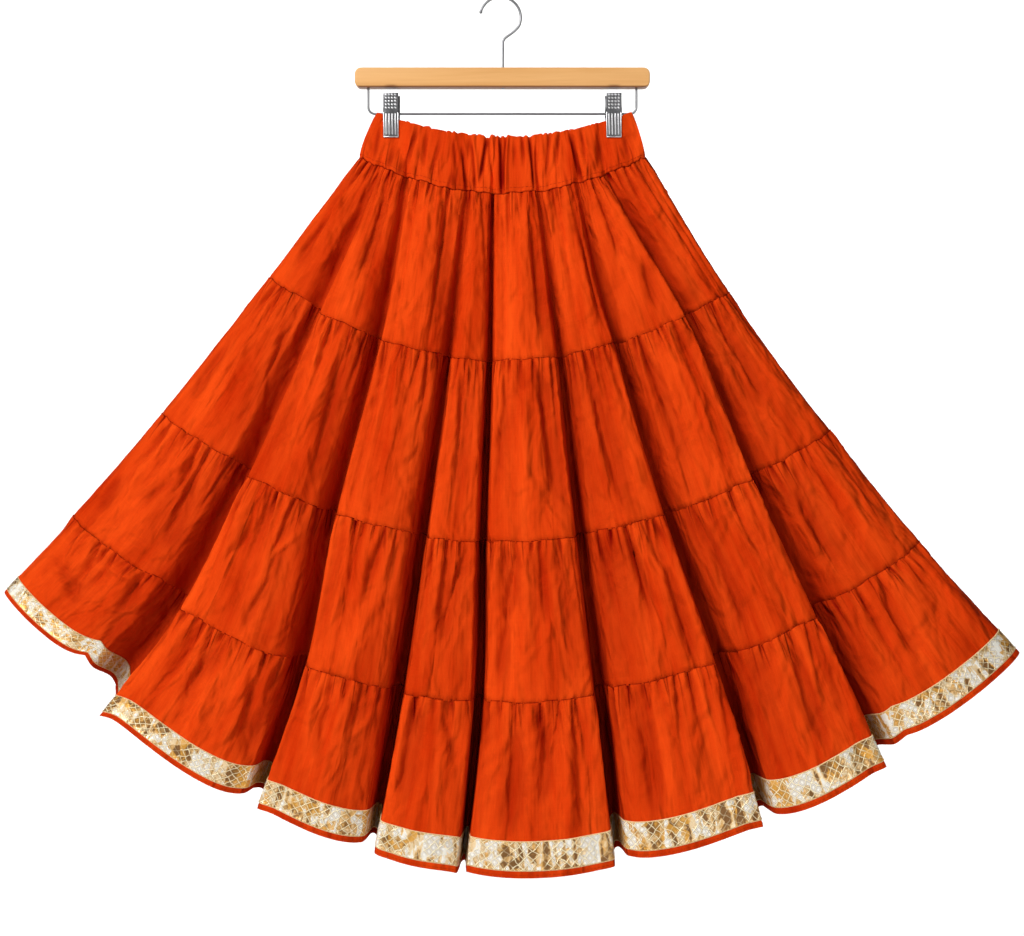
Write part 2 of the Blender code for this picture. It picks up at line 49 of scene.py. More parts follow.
# ---------------------------------------------------------------- the skirt's outline (mm)
LEVEL_COLUMNS = (
    "z_middle", "z_left", "z_right", "x_left", "x_right",
    "half_depth", "squareness", "fold_depth", "fold_width", "crown", "rise_share", "lean",
)
LEVELS = {
    "waist_top": (-174.5, -142.5, -142.5, -157.0, 162.0, 8.0, 20.0, 0.0, 4.0, 0.0, 0.0, 0.0),
    "waist_seam": (-247.0, -199.6, -199.6, -179.0, 179.0, 20.0, 6.0, 6.0, 4.0, 3.0, 0.0, 0.0),
    "seam_2": (-456.5, -349.6, -368.4, -291.0, 282.0, 41.0, 4.0, 22.0, 7.5, 8.0, 0.1, 3.0),
    "seam_3": (-677.5, -518.4, -539.6, -423.0, 407.0, 57.0, 3.4, 36.0, 10.0, 12.0, 0.2, 5.0),
    "seam_4": (-869.0, -645.9, -675.9, -533.0, 518.0, 72.0, 3.0, 46.0, 11.0, 15.0, 0.4, 5.0),
    "hem": (-1074.0, -737.1, -808.4, -618.0, 642.0, 86.0, 2.8, 56.0, 7.5, 16.0, 1.0, 5.0),
}

# The big folds: x at the five seams, share of the level's depth, which side laps over it (above
# zero the lobe after the fold, below zero the one before it), and share of the level's width.
FOLD_COLUMNS = ("waist_seam", "seam_2", "seam_3", "seam_4", "hem", "depth", "lap", "width")
FOLDS = {
    "front_1": (-151.0, -229.0, -316.0, -397.0, -490.0, 0.90, 1.0, 1.0),
    "front_2": (-118.0, -153.0, -207.0, -243.0, -296.0, 1.00, 1.0, 1.0),
    "front_3": (-44.0, -66.0, -96.0, -124.0, -156.0, 1.05, 0.8, 0.85),
    "front_4": (-12.0, -15.5, -23.5, -28.0, -48.0, 1.10, 0.1, 0.6),
    "front_5": (46.0, 71.0, 95.0, 117.5, 139.0, 1.05, -0.7, 0.85),
    "front_6": (94.0, 141.0, 202.5, 264.0, 316.0, 1.00, -1.0, 1.0),
    "front_7": (128.0, 230.0, 311.5, 388.0, 466.0, 0.90, -1.0, 1.0),
    "back_1": (140.0, 218.0, 300.0, 382.0, 474.0, 0.85, 0.9, 1.0),
    "back_2": (88.0, 142.0, 206.0, 262.0, 322.0, 1.00, 1.0, 0.9),
    "back_3": (40.0, 62.0, 92.0, 118.0, 150.0, 0.95, 0.6, 0.8),
    "back_4": (-6.0, -8.0, -10.0, -12.0, -8.0, 1.05, -0.2, 0.7),
    "back_5": (-52.0, -80.0, -112.0, -142.0, -170.0, 1.00, -0.7, 0.9),
    "back_6": (-98.0, -150.0, -214.0, -266.0, -318.0, 0.95, -1.0, 1.0),
    "back_7": (-140.0, -222.0, -318.0, -398.0, -482.0, 0.85, -0.9, 1.0),
}

# The lobes between the folds, from the left side fold: how much of the crown each takes, and the
# lift of its hem at its start, middle and end.
LOBE_COLUMNS = ("crown", "start", "middle", "end")
LOBES = {
    "left_side": (0.2, 8.0, -4.0, 28.0),
    "front_b": (1.0, -22.0, -6.0, 12.0),
    "front_c": (1.0, 3.0, 6.0, 14.0),
    "front_d": (0.8, 7.0, 2.0, -2.0),
    "front_e": (1.1, 2.0, 0.0, 2.0),
    "front_f": (1.0, 12.0, 3.0, -1.0),
    "front_g": (1.0, 8.0, -4.0, -6.0),
    "right_side": (0.2, 9.0, -8.0, 10.0),
    "back_g": (1.0, -6.0, 0.0, 8.0),
    "back_f": (1.0, -4.0, 4.0, 8.0),
    "back_e": (1.0, 0.0, 2.0, 4.0),
    "back_d": (1.0, 4.0, 0.0, -3.0),
    "back_c": (0.9, 6.0, 2.0, -5.0),
    "back_b": (1.0, 9.0, 0.0, -8.0),
}
LOBE_COUNT = len(LOBES)

# How a lobe turns into its folds: where its hem starts to sink, as a share of its span from its
# middle, how much of the span's spacing stays even, and how steep a fold's walls are.
LIFT_SHOULDER = 0.38
FOLD_SLOT = 0.30
FOLD_EDGE = 2.4

# Where the clips hold the waistband: how flat, how wide and how far down they pinch it, and how
# far its edge dips under the springs and beside the rail.
CLIP_X = 139.0
PINCHED_DEPTH = 4.1
PINCH_HALF_WIDTH = 21.0
PINCH_ENDS = (0.48, 0.9)
CLIP_DIP = 2.0
RAIL_NOTCH = 6.0
SPRING_HALF_LENGTH = 6.0

# The hanger: the bar's corners, the stem, the rail, and the jaws' heights and the gap they hold.
BAR_LOW = (-184.0, -8.0, -112.4)
BAR_HIGH = (184.0, 8.0, -87.8)
BAR_CORNER = 8.0
STEM_X = 0.6
RAIL_HALF_WIDTH = 167.5
RAIL_TOP_Z = -103.4
RAIL_Z = -144.6
RAIL_CORNER = 8.5
JAW_TOP = -120.0
JAW_FOOT = -174.8
JAW_SEAT = 4.5
JAW_PLATE = 1.2

GOLD_BAND_WIDTH = 35.0
HEM_BELOW_BAND = 8.0
TIER_4_DROP = 205.0
STITCH_PITCH = 5.0
YARN_PITCH = 1.1
FOIL_PITCH = 11.2
SMOOTH_ANGLE = 40.0

# Each piece of cloth: mesh columns and rows, wall, the gathers all round its top seam, how far
# out it puffs below that seam, how deep its gathers are, how narrow they start, and how high its
# soft folds are.
PIECE_COLUMNS = ("columns", "rows", "wall", "gathers", "puff", "gather", "narrow", "soft")
PIECES = {
    "tier_1": (1160, 40, 0.7, 96, 1.6, 5.8, 1.7, 6.0),
    "tier_2": (1420, 34, 0.7, 160, 2.4, 6.8, 1.8, 7.4),
    "tier_3": (1500, 32, 0.7, 216, 2.4, 8.2, 2.0, 8.8),
    "tier_4": (1540, 30, 0.7, 250, 2.6, 9.0, 2.2, 9.6),
}

# How far down the gathers reach, at least and beyond that at most, and how far they lean; and how
# much flatter the relief is at the skirt's sides.
GATHER_REACH = (17.0, 105.0)
GATHER_LEAN = 0.3
SIDE_CALM = 0.7

# The casing's folds on the front, and mirrored on the back: x at its top edge and at its seam,
# half width, depth, and the shares of its height where each starts and ends.
RUCHES = (
    (-104.0, -124.0, 3.4, 1.8, 0.0, 0.9),
    (-92.0, -99.0, 3.0, 1.6, 0.0, 0.8),
    (-74.0, -92.0, 3.6, 1.5, 0.1, 1.0),
    (-62.0, -56.0, 3.0, 1.6, 0.0, 0.7),
    (-52.0, -45.0, 2.4, 3.0, 0.2, 1.1),
    (-40.0, -33.0, 2.4, 2.4, 0.0, 1.1),
    (-20.0, -31.0, 2.6, 3.4, -0.1, 0.9),
    (-16.5, -10.0, 2.2, 2.6, -0.1, 0.7),
    (-4.0, -2.5, 2.2, 3.6, -0.1, 1.1),
    (5.0, 2.5, 1.9, 3.2, -0.1, 1.1),
    (14.5, 16.0, 2.6, 1.6, 0.0, 0.6),
    (25.5, 27.0, 2.2, 2.2, -0.1, 0.6),
    (33.0, 39.5, 2.3, 3.4, -0.1, 1.1),
    (41.5, 46.5, 2.2, 2.8, 0.1, 1.1),
    (59.0, 54.0, 2.6, 2.0, -0.1, 0.8),
    (71.5, 66.5, 3.0, 1.8, 0.0, 0.7),
    (83.5, 97.0, 2.6, 3.0, 0.0, 1.1),
    (98.5, 106.0, 3.0, 1.8, 0.0, 0.8),
    (117.0, 128.0, 3.2, 1.6, 0.2, 1.0),
    (149.0, 160.0, 3.0, 1.8, 0.3, 1.0),
    (-150.0, -160.0, 3.0, 1.8, 0.2, 1.0),
    (-128.0, -140.0, 3.2, 1.6, 0.5, 1.1),
)

# Creases set in the cloth of the front, and mirrored on the back: from x, z to x, z, half width and
# height, below zero for a trough.
CREASES = (
    (-205, -262, -262, -345, 5, -2.4),
    (-188, -225, -240, -320, 4, 1.8),
    (-140, -235, -176, -360, 6, -2.6),
    (-128, -262, -140, -330, 4, 1.6),
    (-92, -240, -104, -350, 6, 2.0),
    (-66, -250, -84, -425, 7, -3.2),
    (-34, -250, -40, -420, 5, 1.6),
    (36, -285, 50, -435, 8, -3.0),
    (20, -258, 26, -420, 7, 2.0),
    (84, -250, 130, -435, 7, -3.2),
    (172, -315, 192, -400, 7, -2.4),
    (112, -235, 150, -345, 5, -2.4),
    (138, -228, 205, -350, 6, -2.4),
    (160, -225, 225, -330, 4, 1.8),
    (-330, -420, -392, -505, 6, -2.6),
    (-300, -400, -345, -500, 5, 2.0),
    (-345, -470, -300, -430, 4, 1.5),
    (-265, -395, -300, -520, 7, -3.0),
    (-215, -390, -255, -560, 7, 2.4),
    (-190, -420, -228, -590, 6, -2.4),
    (-128, -430, -140, -600, 7, 2.2),
    (-50, -452, -60, -640, 6, -2.8),
    (8, -452, -8, -640, 6, -2.2),
    (24, -470, 32, -640, 9, 2.4),
    (42, -446, 70, -648, 9, -3.8),
    (98, -458, 154, -652, 8, -3.4),
    (170, -430, 230, -600, 7, -2.6),
    (205, -420, 262, -560, 5, 1.8),
    (262, -400, 330, -520, 6, -2.6),
    (-470, -590, -500, -640, 6, -2.2),
    (-440, -560, -470, -650, 5, 1.8),
    (-420, -600, -350, -560, 5, 1.6),
    (-372, -584, -416, -692, 8, -3.6),
    (-398, -596, -448, -628, 5, -2.2),
    (-300, -600, -352, -740, 8, 2.6),
    (-258, -640, -286, -730, 6, -2.6),
    (-272, -706, -316, -788, 6, -2.8),
    (-298, -658, -340, -700, 5, -2.4),
    (-285, -700, -240, -660, 4, 1.6),
    (-138, -650, -178, -790, 7, -2.8),
    (-166, -690, -180, -830, 8, 2.4),
    (-64, -674, -76, -802, 5, -3.0),
    (-42, -682, -74, -802, 5, -2.8),
    (4, -674, 16, -762, 5, -2.6),
    (21, -674, 5, -780, 6, -3.2),
    (9, -765, -5, -852, 6, -2.4),
    (48, -674, 55, -785, 5, -2.8),
    (30, -740, 32, -850, 9, 2.0),
    (150, -664, 185, -770, 6, -3.2),
    (178, -660, 195, -715, 4, -2.6),
    (194, -698, 229, -828, 9, -3.0),
    (245, -650, 300, -790, 8, -2.6),
    (350, -600, 420, -720, 7, -2.8),
    (400, -590, 470, -680, 6, 2.0),
    (-560, -690, -520, -760, 7, -2.6),
    (-440, -712, -494, -818, 9, -3.4),
    (-520, -700, -400, -740, 5, 1.6),
    (-334, -792, -394, -875, 6, -2.8),
    (-350, -830, -374, -930, 8, 2.4),
    (-300, -806, -314, -935, 8, -2.8),
    (-230, -850, -216, -1000, 9, 2.6),
    (-94, -868, -124, -990, 8, -2.8),
    (-72, -876, -56, -950, 6, -2.6),
    (16, -880, 0, -1040, 11, -3.6),
    (55, -876, 49, -995, 7, -3.0),
    (76, -900, 86, -1040, 9, 2.4),
    (163, -868, 186, -1015, 9, -3.6),
    (262, -850, 296, -990, 8, 2.2),
    (350, -800, 392, -930, 9, -2.8),
    (455, -720, 520, -830, 8, -2.8),
    (505, -690, 585, -790, 7, 2.0),
)


def table_column(table, names, name):
    """One named column of a table, in the table's order."""
    return np.array([row[names.index(name)] for row in table.values()])


def cloth_row(piece):
    """The named values of one piece of cloth."""
    return dict(zip(PIECE_COLUMNS, PIECES[piece]))


# ---------------------------------------------------------------- the skirt's surface
def between_levels(values, level, eased):
    """Values at the six levels, read between them."""
    if level <= 1.0:
        share = 1.0 - (1.0 - level) ** 1.4 if eased else level
        return values[0] + (values[1] - values[0]) * share
    first = min(int(level), len(values) - 2)
    along = level - first
    before = values[first - 1] if first > 1 else 2 * values[first] - values[first + 1]
    after = values[first + 2] if first + 2 < len(values) else 2 * values[first + 1] - values[first]
    start, end = values[first], values[first + 1]
    start_slope, end_slope = (end - before) / 2, (after - start) / 2
    return (
        start * (2 * along**3 - 3 * along**2 + 1)
        + start_slope * (along**3 - 2 * along**2 + along)
        + end * (3 * along**2 - 2 * along**3)
        + end_slope * (along**3 - along**2)
    )


def level_value(column, level):
    """One of the outline's values at a level: 0 is the waist's top, 5 the hem."""
    values = table_column(LEVELS, LEVEL_COLUMNS, column)
    return between_levels(values, level, column.startswith("x_"))


def fold_angles(level):
    """The angle round the base curve of each fold: the front is -90 to 90 degrees."""
    middle = (level_value("x_right", level) + level_value("x_left", level)) / 2
    half_width = (level_value("x_right", level) - level_value("x_left", level)) / 2
    waist_scale = level_value("x_right", 0.0) / level_value("x_right", 1.0)
    angles = []
    for name, fold in FOLDS.items():
        places = [fold[0] * waist_scale, *fold[:5]]
        angle = math.asin((between_levels(places, level, True) - middle) / half_width)
        angles.append(angle if name.startswith("front") else math.pi - angle)
    return np.array(angles)


def lobe_lift(lobes, shares):
    """The hem's lift across each lobe, meeting its neighbours' half way in the folds."""
    start, middle, end = (
        table_column(LOBES, LOBE_COLUMNS, name) for name in ("start", "middle", "end")
    )
    in_fold = (start + np.roll(end, 1)) / 2
    before = shares < 0.5
    shoulder = np.where(before, start[lobes], end[lobes])
    fold = np.where(before, in_fold[lobes], np.roll(in_fold, -1)[lobes])
    from_middle = np.abs(shares - 0.5)
    swept = middle[lobes] + (shoulder - middle[lobes]) * (from_middle / LIFT_SHOULDER) ** 2
    into_fold = (from_middle - LIFT_SHOULDER) / (0.5 - LIFT_SHOULDER)
    return np.where(into_fold > 0, shoulder + (fold - shoulder) * into_fold, swept)


def base_curve(level, lobes, shares):
    """The unfolded outline at a level: x, y, outward directions, angle, and each point's fold."""
    folds = fold_angles(level)
    starts = np.roll(folds, 1)
    starts[0] -= TURN
    spans = folds - starts
    nearness = 1.0 - np.abs(2.0 * shares - 1.0)
    spread = FOLD_SLOT * nearness + (1.0 - FOLD_SLOT) * nearness**3
    across = np.where(shares < 0.5, spread / 2, 1.0 - spread / 2)
    angle = starts[lobes] + spans[lobes] * across

    x_left, x_right = level_value("x_left", level), level_value("x_right", level)
    half_width = (x_right - x_left) / 2
    half_depth, square = level_value("half_depth", level), level_value("squareness", level)
    side = np.abs(np.sin(angle))
    front = np.where(np.cos(angle) > 0, -1.0, 1.0)
    hollow = np.sqrt(np.maximum(1.0 - side**square, 0.0))
    x = (x_left + x_right) / 2 + half_width * np.sin(angle)
    y = front * half_depth * hollow
    nearest = np.where(shares < 0.5, starts[lobes], folds[lobes])
    fold_x = (x_left + x_right) / 2 + half_width * np.sin(nearest)
    fold_y = np.where(np.cos(nearest) > 0, -1.0, 1.0) * half_depth
    fold_y = fold_y * np.sqrt(1.0 - np.abs(np.sin(nearest)) ** square)
    from_fold = np.hypot(x - fold_x, y - fold_y) / level_value("fold_width", level)
    out_x = np.sign(np.sin(angle)) * square * side ** (square - 1.0) / half_width
    out_y = front * 2.0 * hollow / half_depth
    length = np.hypot(out_x, out_y)
    out = np.stack([out_x / length, out_y / length], axis=1)
    return np.stack([x, y], axis=1), out, angle, spread, from_fold


def lapping(level, lobes, shares):
    """Each point's fold, its side of that fold, and how far it laps over it or lies under."""
    laps = table_column(FOLDS, FOLD_COLUMNS, "lap")
    fold_of = np.where(shares < 0.5, (lobes - 1) % LOBE_COUNT, lobes)
    after = np.where(shares < 0.5, 1.0, -1.0)
    lap = laps[fold_of] * after * min(max(level - 1.0, 0.0), 1.0)
    return fold_of, after, np.maximum(lap, 0.0), np.maximum(-lap, 0.0)


def fold_share(level, lobes, shares, from_fold):
    """How far into its fold each point sinks, as a share of the fold's depth: steep walls that
    grow steeper towards the hem, and a slow slope on the side that lies under."""
    fold_of, _, over, under = lapping(level, lobes, shares)
    width = table_column(FOLDS, FOLD_COLUMNS, "width")[fold_of] * (1.0 - 0.15 * over + 0.3 * under)
    edge = FOLD_EDGE + 0.45 * max(level - 1.0, 0.0) + 0.8 * over - 0.6 * under
    steep = np.exp(-((from_fold / width) ** edge))
    slow = np.exp(-((from_fold / 3.6) ** 2))
    depths = table_column(FOLDS, FOLD_COLUMNS, "depth")[fold_of]
    return depths * ((1.0 - 0.2 * under) * steep + 0.2 * under * slow)


def skirt_ring(level, lobes, shares):
    """Points round the skirt at a level: the big folds, each lapped over by one of its sides."""
    base, out, angle, spread, from_fold = base_curve(level, lobes, shares)
    _, after, over, _ = lapping(level, lobes, shares)
    crowns = table_column(LOBES, LOBE_COLUMNS, "crown")
    stand = level_value("crown", level) * crowns[lobes] * (1.0 - (1.0 - spread) ** 2)
    stand = stand + 2.5 * over * np.exp(-(((from_fold - 1.9) / 1.1) ** 2))
    sink = level_value("fold_depth", level) * fold_share(level, lobes, shares, from_fold)
    move = stand - sink
    shift = level_value("lean", level) * over * np.exp(-(((from_fold - 1.25) / 0.9) ** 2)) * -after
    x = base[:, 0] + out[:, 0] * move - out[:, 1] * shift
    y = base[:, 1] + out[:, 1] * move + out[:, 0] * shift

    z_left, z_right = level_value("z_left", level), level_value("z_right", level)
    z_side = np.where(np.sin(angle) < 0, z_left, z_right)
    z_middle = level_value("z_middle", level)
    z = z_middle + (z_side - z_middle) * np.abs(np.sin(angle)) ** 2
    z = z + level_value("rise_share", level) * lobe_lift(lobes, shares)
    from_seam = level - min(max(round(level), 1), 4)
    sway = sum(
        size * np.sin(count * angle + 2.1 * count + round(level))
        for count, size in ((17, 0.9), (41, 0.7), (67, 0.35), (109, 0.2))
    )
    z = z + sway * math.exp(-((from_seam / 0.12) ** 2))
    return np.stack([x, y, z], axis=1)


def shaded_share(level, lobes, shares):
    """How shaded each point is by the big folds, from 0 to 1: widest on the side that lies
    under."""
    from_fold = base_curve(level, lobes, shares)[-1]
    under = lapping(level, lobes, shares)[3]
    share = fold_share(level, lobes, shares, from_fold)
    share = share + 0.4 * under * np.exp(-((from_fold / 3.2) ** 2))
    return np.clip(share, 0, 1) * min(max(2.4 * level - 1.9, 0), 1)


def pinch_at_clips(points, level):
    """Flattens the waistband between the jaws, and keeps its edge clear of springs and rail."""
    fade = np.clip((PINCH_ENDS[1] - level) / (PINCH_ENDS[1] - PINCH_ENDS[0]), 0.0, 1.0)
    from_clip = CLIP_X - np.abs(points[:, 0])
    pinch = np.exp(-((np.maximum(from_clip, 0.0) / PINCH_HALF_WIDTH) ** 10)) * fade
    flat = np.minimum(np.abs(points[:, 1]), PINCHED_DEPTH) * np.sign(points[:, 1])
    points[:, 1] += (flat - points[:, 1]) * pinch
    top = max(1.0 - level / 0.12, 0.0)
    at_side = (np.abs(points[:, 0]) > CLIP_X) * np.exp(-((points[:, 1] / 3.2) ** 4))
    under_spring = np.exp(-((from_clip / (SPRING_HALF_LENGTH + 4.0)) ** 6))
    points[:, 2] -= (RAIL_NOTCH * at_side + CLIP_DIP * under_spring) * top
    return points


def run_round(ring):
    """How far along a closed ring each of its points lies, and its whole length as the last."""
    steps = np.linalg.norm(np.roll(ring, -1, axis=0) - ring, axis=1)
    return np.append(0.0, np.cumsum(steps))


def arc_share(ring):
    """How far round a ring each of its points lies, from 0 to 1, and the ring's length."""
    along = run_round(ring)
    return along[:-1] / along[-1], along[-1]


def round_u(ring):
    """The U of a tube's columns in metres round a ring, with one more that closes it."""
    share, around = arc_share(ring)
    return np.append(share, 1.0) * around * MM


def even_columns(level, count):
    """Places round the skirt that are evenly apart at a level: lobe and share of each column."""
    fine = 400
    lobes = np.repeat(np.arange(LOBE_COUNT), fine)
    shares = np.tile((np.arange(fine) + 0.5) / fine, LOBE_COUNT)
    along = run_round(skirt_ring(level, lobes, shares))
    wanted = np.arange(count) / count * along[-1]
    place = np.interp(wanted, along, np.arange(len(along))) / fine
    place = (place + 0.5 / fine) % LOBE_COUNT
    return place.astype(int), place % 1.0


def outward(ring, up):
    """Outward directions along a closed ring, square to it and to a direction up its surface."""
    along = np.roll(ring, -1, axis=0) - np.roll(ring, 1, axis=0)
    out = np.cross(along, up)
    return out / np.linalg.norm(out, axis=1, keepdims=True)


# ---------------------------------------------------------------- relief of the cloth
def uneven(numbers, seed):
    """A steady value from 0 to 1 for each whole number, without a pattern."""
    return np.mod(np.sin(numbers * 12.9898 + seed * 78.233) * 43758.5453, 1.0)


def wander(share, count, seed, amount=1.0):
    """A count of waves round the skirt whose spacing wanders."""
    return count * share + amount * (
        0.42 * np.sin(TURN * (3 * share + 0.13 * seed))
        + 0.33 * np.sin(TURN * (11 * share + 0.37 * seed))
        + 0.28 * np.sin(TURN * (23 * share + 0.71 * seed))
    )


def pleats(phase, seed, sharp):
    """Rounded crests with pinched valleys between them: each leans to one side, in its own
    height."""
    number = np.floor(phase)
    along = phase - number
    along = np.where(uneven(number, seed + 9.0) > 0.5, along, 1.0 - along)
    crest = np.sin(math.pi * along**0.62) ** sharp
    return crest * (0.35 + 0.65 * uneven(number, seed))


def soft_noise(across, down, seed, stretch):
    """Smooth uneven relief from crossing waves, longest along the second direction."""
    total = np.zeros(np.broadcast(across, down).shape)
    for wave in range(7):
        rate = 0.013 * 1.38**wave
        lean = (uneven(wave, seed) * 2.0 - 1.0) * rate * 0.8
        start = TURN * uneven(wave + 40, seed)
        swing = np.sin(TURN * (rate * across + lean * down / stretch) + start)
        total += swing / (1.0 + 0.45 * wave)
    return total / 3.0


def crease_relief(points):
    """The listed creases: soft troughs and ridges on the front, mirrored on the back."""
    relief = np.zeros(len(points))
    x_here, y_here, z_here = points.T
    for number, (x0, z0, x1, z1, width, height) in enumerate(CREASES):
        shift = 14.0 * (uneven(number, 2.0) - 0.5)
        x = np.where(y_here < 0, x_here, -x_here + shift)
        run_x, run_z = x1 - x0, z1 - z0
        length = math.hypot(run_x, run_z)
        along = ((x - x0) * run_x + (z_here - z0) * run_z) / length**2
        off = ((x - x0) * run_z - (z_here - z0) * run_x) / length
        ends = np.clip(along / 0.35, 0, 1) * np.clip((1.0 - along) / 0.35, 0, 1)
        ends = ends * ends * (3 - 2 * ends)
        along = np.clip(along, 0, 1)
        bow = 8.0 * (uneven(number, 9.0) - 0.5) * np.sin(math.pi * along)
        off = (off - bow) / (width * (0.7 + 0.6 * along))
        off = off * np.where(off > 0, 1.7, 0.8)
        relief += 2.7 * height * ends * np.exp(-(off**2) / (1.0 + 0.25 * np.abs(off)))
    return relief


def gather_valleys(count, seed, share, around, under, narrow):
    """How deep the pinched valleys below a gathered seam are: each its own place, depth, reach
    and lean, narrow at the seam and opening downwards."""
    number = np.arange(count, dtype=float)
    place = (number + 0.85 * uneven(number, seed)) / count
    deep = 0.3 + 0.7 * uneven(number, seed + 1.0)
    shortest, longest = GATHER_REACH
    reach = shortest + longest * uneven(number, seed + 2.0) ** 2.4
    lean = GATHER_LEAN * (uneven(number, seed + 3.0) - 0.5)
    off = (share[:, None] - place + 0.5) % 1.0 - 0.5
    off = off * around - lean * under
    width = narrow + 0.045 * under
    steep = np.where(uneven(number, seed + 4.0) > 0.5, 1.0, -1.0)
    width = width * np.where(off * steep > 0, 0.5, 1.5)
    fade = deep * np.exp(-((under / reach) ** 1.6))
    return (fade * np.exp(-((off / width) ** 2))).sum(axis=1)


def tier_relief(piece, down, drop, share, next_share, here):
    """How far a tier's cloth stands off its plain surface, and how much painted shade its valleys
    take.
    """
    row = cloth_row(piece)
    seed = float(piece[-1])
    under = down * drop
    above = (1.0 - down) * drop
    _, around = arc_share(here)
    valleys = gather_valleys(row["gathers"], seed, share, around, under, row["narrow"])
    gather = -row["gather"] * valleys * (1.0 - np.exp(-(under + 1.0) / 2.5))
    phase = wander(share, round(row["gathers"] / 4.5), seed + 3.0)
    swell = np.clip(under / 25.0, 0, 1)
    soft = row["soft"] * (pleats(phase, seed + 1.0, 1.2) - 0.4) * swell * (1.0 - 0.6 * down)
    phase = wander(share, round(row["gathers"] / 2.0), seed + 6.0)
    fine = 0.45 * row["soft"] * (pleats(phase, seed + 2.0, 1.0) - 0.4)
    soft += fine * swell * (1.0 - down) ** 1.5
    furrows = np.abs(soft_noise(share * around, under, seed, 3.0))
    ridges = np.abs(soft_noise(share * around, under + 90.0, seed + 8.0, 2.2))
    rough = (2.0 - 0.7 * down) * (furrows - ridges) * np.clip(under / 12.0, 0, 1)
    puff = row["puff"] * (1.0 - math.exp(-(under + 0.5) / 4.0)) * math.exp(-((under / 34.0) ** 2))
    creases = crease_relief(here) * np.clip(under / 10.0, 0, 1)
    relief = gather + soft + rough + puff + creases
    # Painted shade in the gathers' valleys near the seam and in the low places of the soft folds,
    # creases and crumples.
    shade = 1.15 * np.clip(valleys, 0, 1) * math.exp(-under / 55.0)
    shade = shade + np.clip(-(soft + creases + rough) / 9.0, 0.0, 0.5)
    if piece == "tier_4":
        behind_ribbon = np.clip((above - 34.0) / 30.0, 0.25, 1.0)
        turned_hem = math.exp(-((above / (HEM_BELOW_BAND + 0.5)) ** 8))
        # The strip below the ribbon takes extra painted shade.
        return relief * behind_ribbon + 0.7 * turned_hem, shade + 0.3 * turned_hem
    relief = relief * np.clip(0.15 + above / 22.0, 0, 1)
    below = cloth_row(f"tier_{int(seed) + 1}")
    pucker = gather_valleys(below["gathers"], seed + 1.0, next_share, around, 0.0, below["narrow"])
    # Painted shade in the puckers just above the seam below.
    shade = shade + 0.4 * pucker * math.exp(-above / 4.0)
    return relief - 1.8 * pucker * math.exp(-above / 5.0), shade


# ---------------------------------------------------------------- making cloth
def placed(name, data):
    """A new object in the scene for a mesh, curve, light or camera."""
    made = bpy.data.objects.new(name, data)
    bpy.context.scene.collection.objects.link(made)
    return made


def grid_sheet(name, points, u, v, shade, finish, close_rows=False):
    """A tube of cloth from rows of points in millimetres, bottom row first, with a UV in metres
    and the shade of its valleys as an attribute."""
    columns = points.shape[1]
    wrapped = np.concatenate([points, points[:, :1]], axis=1)
    if close_rows:
        wrapped = np.concatenate([wrapped, wrapped[:1]])
    row_count = wrapped.shape[0]
    form = bmesh.new()
    bmesh.ops.create_grid(form, x_segments=columns, y_segments=row_count - 1, size=1.0)
    mesh = bpy.data.meshes.new(name)
    form.to_mesh(mesh)
    mesh.vertices.foreach_set("co", (wrapped * MM).astype(np.float32).ravel())
    corners = np.empty(len(mesh.loops), dtype=np.int32)
    mesh.loops.foreach_get("vertex_index", corners)
    layer = mesh.uv_layers.new(name="cloth")
    uv = np.stack([u[corners % (columns + 1)], v[corners // (columns + 1)]], axis=1)
    layer.data.foreach_set("uv", uv.astype(np.float32).ravel())
    shade = np.concatenate([shade, shade[:, :1]], axis=1)
    if close_rows:
        shade = np.concatenate([shade, shade[:1]])
    deep = mesh.attributes.new("shade", "FLOAT", "POINT")
    deep.data.foreach_set("value", np.clip(shade, 0, 1).astype(np.float32).ravel())
    form.clear()
    form.from_mesh(mesh)
    bmesh.ops.remove_doubles(form, verts=form.verts, dist=1e-7)
    form.to_mesh(mesh)
    form.free()
    mesh.materials.append(finish)
    mesh.shade_smooth()
    return placed(name, mesh)


def thicken(piece, wall):
    """Gives a cloth its wall, inwards from its outer face."""
    modifier = piece.modifiers.new("wall", "SOLIDIFY")
    modifier.thickness = wall * MM
    modifier.offset = -1.0


def surface_normals(level, plain):
    """The folded surface at one level, and its outward directions."""
    step = 0.01
    here = plain(level)
    return here, outward(here, plain(max(level - step, 0.0)) - plain(level + step))


def tier_points(piece, downs, lobes, shares):
    """The outer surface of a tier at shares of its drop below its top seam, and its painted shade.
    """
    level = int(piece[-1])
    names = list(LEVELS)
    drop = abs(LEVELS[names[level + 1]][0] - LEVELS[names[level]][0])
    share, _ = arc_share(skirt_ring(level, lobes, shares))
    next_share, _ = arc_share(skirt_ring(level + 1, lobes, shares))

    def plain(at):
        return skirt_ring(at, lobes, shares)

    rows, shades = [], []
    for down in downs:
        here, normal = surface_normals(level + down, plain)
        relief, shade = tier_relief(piece, down, drop, share, next_share, here)
        sunk = shaded_share(level + down, lobes, shares)
        sideways = np.abs(normal[:, 0]) / np.hypot(normal[:, 0], normal[:, 1])
        calm = (1.0 - 0.6 * sunk) * (1.0 - SIDE_CALM * sideways**4)
        rows.append(here + normal * (relief * calm)[:, None])
        # Painted shade from the big folds, stronger lower down, over the relief's own painted
        # shade.
        sunk = sunk * (0.52 + 0.06 * (level + down - 1.0))
        shades.append(sunk + (1.0 - sunk) * 0.75 * shade)
    return np.array(rows), np.array(shades)


